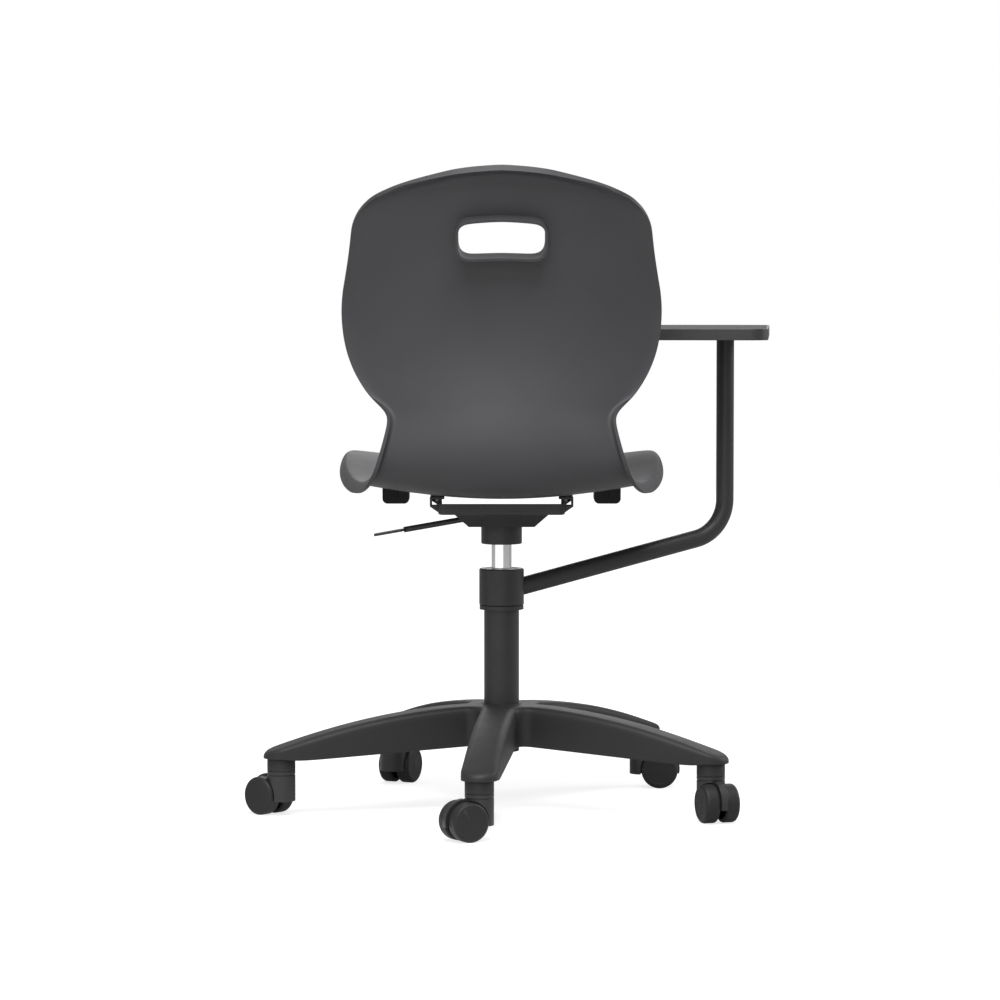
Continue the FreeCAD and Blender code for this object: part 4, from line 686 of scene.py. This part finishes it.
def shell_normal(column, along, step=1 * MM, turn=0.01):
    """Direction out of the sitter's side."""
    along = min(max(along, step), SPINE_LENGTH - step)
    column = min(max(column, 2 * turn - 3), 3 - 2 * turn)
    wide = shell_point(column + turn, along) - shell_point(column - turn, along)
    high = shell_point(column, along + step) - shell_point(column, along - step)
    return high.cross(wide).normalized()


print("the top edge is at", round(shell_point(0, SPINE_LENGTH).z, 4), "m")

# %% [markdown]
# ## The moulded shell: the grid and the hand slot
# The sheet starts as one flat grid. Its columns and rows are spread so that they crowd together at the
# rolled edges, at the waist and round the hand slot. The slot is a block of faces taken out of the
# grid, and its corners are made round by pulling the points round each corner onto circles. Cutting
# the slot out with another shape would leave long thin faces that shade badly.

# %% Shell grid
SLOT_HALF_WIDTH = 58 * MM
SLOT_HALF_HEIGHT = 25.5 * MM
SLOT_UPPER_CORNER = 12 * MM
SLOT_LOWER_CORNER = 17 * MM
SLOT_DROP = 103 * MM
COLLAR_WALL = 3.6 * MM
COLLAR_DEPTH = 20 * MM
SLOT_FADE = 14 * MM
SLOT_CENTRE = SPINE_LENGTH - SLOT_DROP
SLOT_COLUMNS = [0, 14, 28, 40, 49, 58, 61.6, 66, 70]
OUTER_COLUMNS = [1.25, 1.5, 1.75, 2.0, 2.25, 2.5, 2.75, 3.0]
RIGHT_COLUMNS = [x * MM / SLOT_FIELD for x in SLOT_COLUMNS] + OUTER_COLUMNS
COLUMNS = [-column for column in reversed(RIGHT_COLUMNS[1:])] + RIGHT_COLUMNS
LOWER_ROWS = [
    0, 0.003, 0.008, 0.016, 0.03, 0.055, 0.09, 0.14, 0.19, 0.24, 0.29, 0.34, 0.39, 0.44, 0.48, 0.515,
    0.545, 0.565, 0.582, 0.595, 0.607, 0.62, 0.635, 0.655, 0.68, 0.71, 0.745, 0.775, 0.8]
SLOT_ROWS = [
    -62, -46, -36, -29.1, -25.5, -18, -9, 0, 7, 14, 20, 25.5, 29.1, 36, 46, 58, 68, 77, 84, 89, 93, 97,
    100.5]
ROWS = ([share * SPINE_LENGTH for share in LOWER_ROWS]
        + [SLOT_CENTRE + rise * MM for rise in SLOT_ROWS] + [SPINE_LENGTH])


def round_the_slot(x, rise):
    """Pull a point near one of the slot's corners onto a circle about that corner's centre."""
    radius = SLOT_UPPER_CORNER if rise > 0 else SLOT_LOWER_CORNER
    across = abs(x) - (SLOT_HALF_WIDTH - radius)
    up = abs(rise) - (SLOT_HALF_HEIGHT - radius)
    if across <= 0 or up <= 0:
        return x, rise
    reach = max(across, up)
    pull = 1 - ease((reach - radius - COLLAR_WALL) / SLOT_FADE)
    scale = 1 + (reach / math.hypot(across, up) - 1) * pull
    return (math.copysign(SLOT_HALF_WIDTH - radius + across * scale, x),
            math.copysign(SLOT_HALF_HEIGHT - radius + up * scale, rise))


def shell_grid():
    """A flat grid that carries each point's column and distance along the shell."""
    bm = bmesh.new()
    across, down = len(COLUMNS) - 1, len(ROWS) - 1
    bmesh.ops.create_grid(bm, x_segments=across, y_segments=down, size=0.5)
    place = bm.verts.layers.float_vector.new("place")
    for vert in bm.verts:
        column = COLUMNS[round((vert.co.x + 0.5) * across)]
        along = ROWS[round((vert.co.y + 0.5) * down)]
        vert[place] = (column, along, 0)
    inside = []
    for face in bm.faces:
        middle = sum((vert[place] for vert in face.verts), Vector()) / 4
        in_width = abs(middle.x * SLOT_FIELD) < SLOT_HALF_WIDTH
        in_height = abs(middle.y - SLOT_CENTRE) < SLOT_HALF_HEIGHT
        if in_width and in_height:
            inside.append(face)
        near_width = abs(middle.x * SLOT_FIELD) < SLOT_HALF_WIDTH + COLLAR_WALL
        near_height = abs(middle.y - SLOT_CENTRE) < SLOT_HALF_HEIGHT + COLLAR_WALL
        face.material_index = int(near_width and near_height)
    bmesh.ops.delete(bm, geom=inside, context="FACES")
    for vert in bm.verts:
        column, along = vert[place].xy
        if abs(column) <= 1:
            x, rise = round_the_slot(column * SLOT_FIELD, along - SLOT_CENTRE)
            vert[place] = (x / SLOT_FIELD, SLOT_CENTRE + rise, 0)
    return bm, place


shell_mesh, PLACE = shell_grid()
print("shell grid:", len(COLUMNS), "columns,", len(ROWS), "rows,", len(shell_mesh.faces), "faces")

# %% [markdown]
# ## The moulded shell: wall, collar and rim
# Extruding the whole sheet gives the wall its thickness, with a little more along the top edge. The
# ring of faces round the slot is then extruded to the rear, as the collar that a hand closes on. Last,
# every sharp edge is bevelled, and a subdivision surface rounds the whole moulding.

# %% Shell moulding
RIM_ROUNDING = 1.5 * MM
RIM_SHARP = 50


def thicken_shell(bm, place):
    """Move the flat grid onto the sitter's side and extrude the rear side behind it."""
    made = bmesh.ops.extrude_face_region(bm, geom=bm.faces[:], use_keep_orig=True)
    rear = set(of_type(bmesh.types.BMVert, made["geom"]))
    for vert in bm.verts:
        column, along = vert[place].xy
        vert.co = shell_point(column, along)
        if vert in rear:
            bead = ease((along - SPINE_LENGTH + BEAD_RUN) / BEAD_RUN)
            bead *= ease((BEAD_END - abs(column)) / BEAD_FADE)
            vert.co -= shell_normal(column, along) * (SHELL_WALL + RIM_BEAD * bead)
    return of_type(bmesh.types.BMFace, made["geom"])


def raise_collar(bm, rear_faces):
    """Extrude the ring round the slot straight back to one plane."""
    ring = [face for face in rear_faces if face.material_index == 1]
    rearward = -shell_normal(0, SLOT_CENTRE)
    middle = shell_point(0, SLOT_CENTRE) + rearward * SHELL_WALL / 2
    made = bmesh.ops.extrude_face_region(bm, geom=ring)
    for vert in of_type(bmesh.types.BMVert, made["geom"]):
        vert.co += rearward * (COLLAR_DEPTH + SHELL_WALL / 2 - (vert.co - middle).dot(rearward))
    bmesh.ops.delete(bm, geom=ring, context="FACES")


rear_faces = thicken_shell(shell_mesh, PLACE)
raise_collar(shell_mesh, rear_faces)
bmesh.ops.recalc_face_normals(shell_mesh, faces=shell_mesh.faces)
count = round_sharp_edges(shell_mesh, RIM_ROUNDING, RIM_SHARP)
for face in shell_mesh.faces:
    face.material_index = 0
shell = add_smoothing(finish_piece("shell_moulding", shell_mesh, "seat_shell"))
print("shell moulding:", count, "edges rounded,", len(shell.data.polygons), "faces before smoothing")

# %% [markdown]
# ## The moulded shell: screw bosses
# Under the seat, four short round bosses stand out of the moulding where the seat plate's ears are
# screwed on. Each is a turned stud that flares where it meets the shell. How far up the shell is at
# that place is found by shooting a ray at the finished moulding. Turned outlines are in millimetres.

# %% Shell bosses
EAR_SCREW_X = 88.75 * MM
EAR_SCREW_Y = 72 * MM
EAR_ROWS = ((-EAR_SCREW_Y, 441.5 * MM), (EAR_SCREW_Y, 456 * MM))
BOSS_RADIUS = 9
BOSS_BORE = 3.2
BOSS_FLARE = 2
BOSS_GAP = 0.1
BELOW_BOSS = 5 * MM
WIDE_CORNER = 1.5


def turned(outline, steps=48, ring=False):
    """Spin rows of radius, height and corner radius, in millimetres, round Z into a closed solid."""
    bm = bmesh.new()
    dots = [bm.verts.new((radius * MM, 0, height * MM)) for radius, height, corner in outline]
    for pair in zip(dots, dots[1:] + (dots[:1] if ring else [])):
        bm.edges.new(pair)
    for size in sorted({corner for radius, height, corner in outline if corner}):
        corners = [dot for dot, (radius, height, corner) in zip(dots, outline) if corner == size]
        round_corners(bm, corners, size * MM, 2 if size < WIDE_CORNER else 6, "VERTICES")
    bmesh.ops.spin(bm, geom=bm.verts[:] + bm.edges[:], cent=(0, 0, 0), axis=(0, 0, 1),
                   angle=2 * math.pi, steps=steps, use_merge=True)
    bmesh.ops.remove_doubles(bm, verts=bm.verts, dist=WELD)
    bmesh.ops.recalc_face_normals(bm, faces=bm.faces)
    return bm


def add_to(bm, part, place=Matrix()):
    """Move a part into place and add it to a bigger mesh."""
    part.transform(place)
    mesh = bpy.data.meshes.new("part")
    part.to_mesh(mesh)
    part.free()
    bm.from_mesh(mesh)
    bpy.data.meshes.remove(mesh)


def make_bosses():
    tree = BVHTree.FromObject(shell, bpy.context.evaluated_depsgraph_get())
    bosses = bmesh.new()
    for y, top in EAR_ROWS:
        for x in (-EAR_SCREW_X, EAR_SCREW_X):
            under = tree.ray_cast(Vector((x, y, top - BELOW_BOSS)), Vector((0, 0, 1)))[0]
            height = (under.z - top) / MM + BOSS_FLARE
            neck = max(height - 2 * BOSS_FLARE, 0.4)
            boss = turned([(BOSS_BORE, BOSS_GAP, 0), (BOSS_RADIUS, BOSS_GAP, 0.6), (BOSS_RADIUS, neck, 0),
                           (BOSS_RADIUS + BOSS_FLARE, height, 0), (BOSS_BORE, height, 0)], 32, ring=True)
            add_to(bosses, boss, Matrix.Translation((x, y, top)))
    return finish_piece("shell_bosses", bosses, "seat_shell")


even_shading(make_bosses())
print("four bosses under the seat")

# %% [markdown]
# ## The base: the side line of a leg
# The base is one moulding of glass-filled nylon: five legs round a hub, hollow underneath like a
# gutter. From above, each leg is a bar with a round tip, and neighbouring legs meet in a hollow curve.
# The curve is an arc that meets the middle line between two legs at a right angle, so one tenth of the
# base can be copied round and its edges line up.

# %% Side of a leg
LEG_HALF_WIDTH = 25 * MM
CASTOR_CIRCLE = 312.2 * MM
LEG_TOPS = (148 * MM, 95.5 * MM)
LEG_LOWER_EDGES = (94.5 * MM, 75 * MM)
LEG_ARCH = 13.5 * MM
TIP_UNDERSIDE = 79 * MM
SHOULDER = 8.5 * MM
TIP_SHOULDER = 4.5 * MM
LEG_WALL = 4 * MM
ROOT_RADIUS = 17 * MM
HUB_RING = 26.5 * MM
HALF_TURN = math.radians(36)
LEG_CROWN = 1.2 * MM
TIP_RUN = 24 * MM
TIP_BLEND = 16 * MM
TIP_ANGLES = (0, 18, 36, 54, 72, 90)
SIDE_SHARES = (0.08, 0.2, 0.34, 0.48, 0.62, 0.76, 0.88, 0.96)
ROOT_STEPS = 6


def leg_top(x):
    share = x / CASTOR_CIRCLE
    return mix(*LEG_TOPS, share) + LEG_ARCH * 4 * share * (1 - share)


def leg_bottom(x):
    share = x / CASTOR_CIRCLE
    edge = mix(*LEG_LOWER_EDGES, share)
    return mix(edge, TIP_UNDERSIDE, ease((x - CASTOR_CIRCLE + TIP_RUN) / TIP_BLEND))


def leg_side():
    """Rows of a point on the side, the way into the leg there, and a point on the middle line."""
    rows = []
    tip = Vector((CASTOR_CIRCLE, 0))
    for angle in (math.radians(step) for step in TIP_ANGLES):
        out = Vector((math.cos(angle), math.sin(angle)))
        rows.append((tip + out * LEG_HALF_WIDTH, -out, tip))
    root = (LEG_HALF_WIDTH + ROOT_RADIUS) / math.sin(HALF_TURN)
    centre = Vector((root * math.cos(HALF_TURN), root * math.sin(HALF_TURN)))
    for share in SIDE_SHARES:
        x = mix(CASTOR_CIRCLE, centre.x, share)
        rows.append((Vector((x, LEG_HALF_WIDTH)), Vector((0, -1)), Vector((x, 0))))
    last = math.pi / 2 - HALF_TURN
    half = ROOT_STEPS // 2
    for step in range(ROOT_STEPS + 1):
        angle = last * step / ROOT_STEPS
        inward = Vector((-math.sin(angle), -math.cos(angle)))
        if step < half:
            middle = Vector((centre.x + (HUB_RING - centre.x) * step / half, 0))
        else:
            around = HALF_TURN * (step - half) / half
            middle = Vector((math.cos(around), math.sin(around))) * HUB_RING
        rows.append((centre + inward * ROOT_RADIUS, inward, middle))
    return rows


LEG_SIDE = leg_side()
print("side of a leg:", len(LEG_SIDE), "places from tip to root")

# %% [markdown]
# ## The base: skin
# Half a leg is a flat grid moved onto the leg: from the middle line out over the crowned top, round the
# shoulder and down the side. It is mirrored, copied five times round, and welded. A solidify modifier
# then gives the wall, and a subdivision surface the moulded softness. The inner faces lie on the
# inside, so the underside is open and shows its ribs, as on the real base.

# %% Base skin
BASE_HEADING = math.radians(-90 - 5.43)
SEAM_WELD = 0.02 * MM
TOP_SHARES = (0.0, 0.4, 0.75, 1.0)
SHOULDER_ANGLES = (30, 60)
NARROW_START = 30 * MM
NARROW_RUN = 45 * MM
CROWN_RUN = 60 * MM
LOWER_LOOP = 1.5 * MM


def leg_row(side, inward, middle):
    """Points from the middle line over the shoulder and down the side."""
    narrow = ease((side.x - CASTOR_CIRCLE + NARROW_START) / NARROW_RUN)
    shoulder = mix(SHOULDER, TIP_SHOULDER, narrow)
    edge = side + inward * shoulder
    points = []
    for share in TOP_SHARES:
        flat = mix(middle, edge, share)
        spread = min(abs(flat.y) / LEG_HALF_WIDTH, 1)
        crown = LEG_CROWN * (1 - spread ** 2) * ease((flat.x - HUB_RING) / CROWN_RUN)
        points.append(Vector((flat.x, flat.y, leg_top(flat.x) + crown)))
    for angle in (math.radians(step) for step in SHOULDER_ANGLES):
        flat = side + inward * shoulder * (1 - math.sin(angle))
        points.append(Vector((flat.x, flat.y, leg_top(flat.x) - shoulder * (1 - math.cos(angle)))))
    top = leg_top(side.x) - shoulder
    bottom = leg_bottom(side.x)
    for height in (top, (top + bottom) / 2, bottom + LOWER_LOOP, bottom):
        points.append(Vector((side.x, side.y, height)))
    return points


def half_leg():
    bm = bmesh.new()
    rows = [leg_row(*place) for place in LEG_SIDE]
    across, down = len(rows) - 1, len(rows[0]) - 1
    bmesh.ops.create_grid(bm, x_segments=across, y_segments=down, size=0.5)
    for vert in bm.verts:
        vert.co = rows[round((vert.co.x + 0.5) * across)][round((vert.co.y + 0.5) * down)]
    return bm


def copy_to_legs(bm):
    """Copy what belongs to one leg to the other four."""
    bmesh.ops.spin(bm, geom=everything(bm), cent=(0, 0, 0), axis=(0, 0, 1), angle=8 * HALF_TURN, steps=4,
                   use_duplicate=True)


def make_base_skin():
    bm = half_leg()
    bmesh.ops.mirror(bm, geom=everything(bm), axis="Y", merge_dist=WELD)
    copy_to_legs(bm)
    bmesh.ops.remove_doubles(bm, verts=bm.verts, dist=SEAM_WELD)
    bmesh.ops.recalc_face_normals(bm, faces=bm.faces)
    highest = max(bm.faces, key=lambda face: face.calc_center_median().z)
    if highest.normal.z < 0:
        bmesh.ops.reverse_faces(bm, faces=bm.faces)
    bm.transform(Matrix.Rotation(BASE_HEADING, 4, "Z"))
    skin = finish_piece("base_skin", bm, "base_star")
    add_wall(skin, LEG_WALL)
    return add_smoothing(skin)


base_skin = make_base_skin()
print("base skin:", len(base_skin.data.polygons), "faces before its wall")

# %% [markdown]
# ## The base: sockets, ribs and hub
# Under each tip a round socket takes the castor's stem, and thin ribs stiffen the gutter. The hub is a
# plain sleeve round the column. These are turned or boxed shapes joined in one mesh, and they only have
# to reach into the skin, as they would flow into it in the mould.

# %% Base inside
RIB_PLACES = (72 * MM, 118 * MM, 166 * MM, 214 * MM, 258 * MM)
RIB_WALL = 3 * MM
RIB_GAP = 3 * MM
RIB_ROUNDING = 0.5 * MM
SOCKET_OUTLINE = [(5.6, 62, 0.4), (19.5, 62, 0.8), (19.5, 88, 0), (5.6, 88, 0)]
HUB_OUTLINE = [(24.6, 89, 0.5), (31, 89, 0.8), (31, 142, 0), (26.4, 148.2, 1), (24.6, 148.2, 0.3)]


def rib(x):
    low, high = leg_bottom(x) + RIB_GAP, leg_top(x) - RIB_GAP
    bm = box_mesh((RIB_WALL, 2 * LEG_HALF_WIDTH - LEG_WALL, high - low), (x, 0, (low + high) / 2))
    round_corners(bm, bm.edges[:], RIB_ROUNDING)
    return bm


def make_base_inside():
    bm = bmesh.new()
    add_to(bm, turned(SOCKET_OUTLINE, ring=True), Matrix.Translation((CASTOR_CIRCLE, 0, 0)))
    for x in RIB_PLACES:
        add_to(bm, rib(x))
    copy_to_legs(bm)
    add_to(bm, turned(HUB_OUTLINE, 64, ring=True))
    bm.transform(Matrix.Rotation(BASE_HEADING, 4, "Z"))
    return even_shading(finish_piece("base_inside", bm, "base_star"))


make_base_inside()
print("five sockets,", 5 * len(RIB_PLACES), "ribs and a hub")

# %% [markdown]
# ## Softer copies of the working parts
# Pressed and moulded parts never have knife edges: a thin line of light runs along each rounded edge
# and tells the eye how thick the part is. These parts already have the right shape, so each is copied,
# its loose triangles are welded, flat faces are joined again, and the sharp edges are bevelled.

# %% Softened parts
PART_SHARP = 35


def softened_mesh(node, edge):
    """A welded copy of a working part's mesh with its sharp edges bevelled."""
    bm = bmesh.new()
    bm.from_mesh(frame["nodes"][node].data)
    bmesh.ops.remove_doubles(bm, verts=bm.verts, dist=WELD)
    bmesh.ops.dissolve_limit(bm, angle_limit=math.radians(1), verts=bm.verts, edges=bm.edges,
                             use_dissolve_boundaries=False)
    round_sharp_edges(bm, edge, PART_SHARP)
    return bm


SOFT_EDGES = {
    "taper_socket": 0.7 * MM, "arm_collar": 0.5 * MM, "support_ring": 0.6 * MM, "lever": 0.9 * MM,
    "buffer_block_left": 0.4 * MM, "buffer_block_right": 0.4 * MM, "tablet_plate": 0.5 * MM,
    "arm_tube": 0.4 * MM, "column_tube": 0.4 * MM}
for index in range(5):
    SOFT_EDGES[f"castor_{index}_hood"] = 0.7 * MM
for node, edge in SOFT_EDGES.items():
    piece = even_shading(finish_piece(node + "_finished", softened_mesh(node, edge), node))
    print(node, "softened,", len(piece.data.polygons), "faces")

# %% [markdown]
# ## Castor wheels
# Each castor has two nylon wheels with a rounded tread and a nearly flat face. A wheel is turned on a
# lathe: its outline is drawn from the hub out to the tread and back, its corners are rounded, and the
# outline is spun. The joint that rolls the wheel says where its axle is.

# %% Wheels
JOINTS = {joint["name"]: joint for joint in frame["joints"]}
WHEEL_OUTLINE = [
    (0, 17.5, 0), (20.8, 17.5, 1), (21.8, 4.6, 0.8), (26.5, 4.6, 3.4), (26.5, 24.6, 5), (19.4, 24.6, 0.5),
    (18.9, 24.2, 0.5), (5.2, 24.2, 0.4), (4.6, 24.5, 0.4), (0, 24.5, 0)]


def wheel_place(joint, node):
    """Z along the axle, towards the wheel's open face."""
    place = Vector(joint["pos_m"])
    axis = Vector(joint["axis"]).normalized()
    low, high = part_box(node)
    middle = (Vector(low) + Vector(high)) / 2
    if (middle - place).dot(axis) < 0:
        axis = -axis
    return Matrix.Translation(place) @ axis.to_track_quat("Z", "Y").to_matrix().to_4x4()


def make_wheel(index, side):
    node = f"castor_{index}_wheel_{side}"
    bm = turned(WHEEL_OUTLINE, 64)
    bm.transform(wheel_place(JOINTS[f"castor_{index}_roll_{side}"], node))
    return even_shading(finish_piece(node + "_turned", bm, node, "wheel_nylon"))


for index in range(5):
    for side in "ab":
        make_wheel(index, side)
print("ten wheels turned")

# %% [markdown]
# ## Seat plate and housing
# The seat plate is a shallow tray pressed from 3 mm steel. Its rim is deepest at the rear and runs out
# towards the front, and four bent ears carry the shell clear of it, so daylight shows between the two.
# The housing below it is cut off just above the tray's floor.

# %% Seat plate
PLATE_SIZE = (174.5 * MM, 190 * MM, 15.3 * MM)
PLATE_TOP = 432.6 * MM
PLATE_CORNER = 9 * MM
PLATE_RIM = 3 * MM
PLATE_WALL = 3 * MM
RIM_FALL = 11.6 * MM
EAR_LEAN = 11.5 * MM
EAR_WIDTH = 22 * MM
EAR_PAD = 20 * MM
EAR_KNEE = 8 * MM
EAR_ROOT = 10 * MM
EAR_ROUNDING = 0.6 * MM
EAR_SHARP = 20
RIM_EDGE = 0.5 * MM
RIM_EDGE_SHARP = 40
HOUSING_EDGE = 0.8 * MM
HOUSING_LAP = 1 * MM


def upright_edges(bm):
    return [line for line in bm.edges if abs((line.verts[0].co - line.verts[1].co).z) > 1 * MM]


def plate_tray():
    """An open tray with upright walls, a rounded floor edge, and a rim that falls to the front."""
    middle = PLATE_TOP - PLATE_SIZE[2] / 2
    bm = box_mesh(PLATE_SIZE, (0, 0, middle))
    round_corners(bm, upright_edges(bm), PLATE_CORNER, 5)
    lid = [face for face in bm.faces if face.normal.z > LEVEL]
    bmesh.ops.delete(bm, geom=lid, context="FACES")
    floor_edges = [line for line in bm.edges
                   if len(line.link_faces) == 2 and max(vert.co.z for vert in line.verts) < middle]
    round_corners(bm, floor_edges, PLATE_RIM, 3)
    for vert in bm.verts:
        if vert.co.z > middle:
            vert.co.z -= RIM_FALL * (vert.co.y + PLATE_SIZE[1] / 2) / PLATE_SIZE[1]
    return bm


def ear(side, y, top):
    """A strip that leans out from the tray's wall, with a pad turned inwards for the screw."""
    foot = PLATE_SIZE[0] / 2
    outer = foot + EAR_LEAN
    floor = PLATE_TOP - PLATE_SIZE[2] + PLATE_WALL
    knee = floor + EAR_KNEE
    outline = [
        (foot - PLATE_WALL, floor), (foot, floor), (outer, knee), (outer, top), (outer - EAR_PAD, top),
        (outer - EAR_PAD, top - PLATE_WALL), (outer - PLATE_WALL, top - PLATE_WALL),
        (outer - PLATE_WALL, knee + PLATE_WALL / 2), (foot - PLATE_WALL, floor + EAR_ROOT)]
    bm = bmesh.new()
    strip = bm.faces.new([bm.verts.new((x * side, y - EAR_WIDTH / 2, z)) for x, z in outline])
    made = bmesh.ops.extrude_face_region(bm, geom=[strip])
    bmesh.ops.translate(bm, verts=of_type(bmesh.types.BMVert, made["geom"]), vec=(0, EAR_WIDTH, 0))
    bmesh.ops.recalc_face_normals(bm, faces=bm.faces)
    round_sharp_edges(bm, EAR_ROUNDING, EAR_SHARP)
    return bm


def make_seat_plate():
    tray = finish_piece("seat_plate_tray", plate_tray(), "seat_plate")
    add_wall(tray, PLATE_WALL)
    edge = tray.modifiers.new("edge", "BEVEL")
    edge.width = RIM_EDGE
    edge.segments = 2
    edge.angle_limit = math.radians(RIM_EDGE_SHARP)
    even_shading(tray)
    ears = bmesh.new()
    for y, top in EAR_ROWS:
        for side in (-1, 1):
            add_to(ears, ear(side, y, top))
    even_shading(finish_piece("seat_plate_ears", ears, "seat_plate"))


def make_housing():
    bm = softened_mesh("mechanism_housing", HOUSING_EDGE)
    cut = bmesh.ops.bisect_plane(bm, geom=everything(bm), dist=WELD, plane_no=(0, 0, 1), clear_outer=True,
                                 plane_co=(0, 0, PLATE_TOP - PLATE_SIZE[2] + HOUSING_LAP))
    bmesh.ops.holes_fill(bm, edges=of_type(bmesh.types.BMEdge, cut["geom_cut"]), sides=0)
    bmesh.ops.recalc_face_normals(bm, faces=bm.faces)
    even_shading(finish_piece("housing_pressing", bm, "mechanism_housing"))


make_seat_plate()
make_housing()
print("seat plate, four ears and housing")

# %% [markdown]
# ## The writing tablet
# The tablet is a board with a grey laminate on both faces and a black edge band. The band is glued on
# and trimmed, which leaves a fine line just inside the edge. The board is a box with rounded corners,
# and the line is an inset loop that is pressed in by a tenth of a millimetre.

# %% Tablet
TABLET_SIZE = (306 * MM, 451 * MM, 16 * MM)
TABLET_RIGHT = 61.5 * MM
TABLET_NEAR = 132 * MM
TABLET_UNDERSIDE = 655.5 * MM
TABLET_CORNER = 25 * MM
TABLET_YAW = math.radians(-4.1)
EDGE_ROUNDING = 1.1 * MM
BAND_INSETS = [(1.2 * MM, 0), (0.15 * MM, -0.12 * MM), (0.25 * MM, 0), (0.25 * MM, 0.12 * MM)]
ARM_REACH = 338.5 * MM
ARM_HEADING = math.radians(20)


def is_level(face):
    return abs(face.normal.z) > LEVEL


def make_tablet():
    wide, deep, thick = TABLET_SIZE
    bm = box_mesh(TABLET_SIZE, (TABLET_RIGHT - wide / 2, deep / 2 - TABLET_NEAR, thick / 2))
    round_corners(bm, upright_edges(bm), TABLET_CORNER, 10)
    rims = [line for line in bm.edges if any(is_level(face) for face in line.link_faces)]
    round_corners(bm, rims, EDGE_ROUNDING, 3)
    for face in bm.faces:
        face.material_index = 1
    faces = [face for face in bm.faces if is_level(face)]
    for width, depth in BAND_INSETS:
        bmesh.ops.inset_region(bm, faces=faces, thickness=width, depth=depth)
    for face in faces:
        face.material_index = 0
    place = Matrix.Translation((ARM_REACH * math.cos(ARM_HEADING), ARM_REACH * math.sin(ARM_HEADING),
                                TABLET_UNDERSIDE))
    bm.transform(place @ Matrix.Rotation(TABLET_YAW, 4, "Z"))
    return even_shading(finish_piece("tablet_top", bm, "tablet_board", "tablet_laminate", "tablet_edge"))


tablet = make_tablet()
low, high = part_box("tablet_board")
corners = [Vector(vertex.co) for vertex in tablet.data.vertices]
print("tablet off by", [round((min(c[i] for c in corners) - low[i]) / MM, 2) for i in range(3)],
      [round((max(c[i] for c in corners) - high[i]) / MM, 2) for i in range(3)], "mm")

# %% [markdown]
# ## Sizes
# The box round the dressed chair is printed; the floor is left out of it. The dressed chair
# has to stay as large as the working parts.

# %% Sizes
dressed_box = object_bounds()
low, high = ([round(x, 4) for x in corner] for corner in dressed_box)
print("dressed chair, from", low, "to", high)
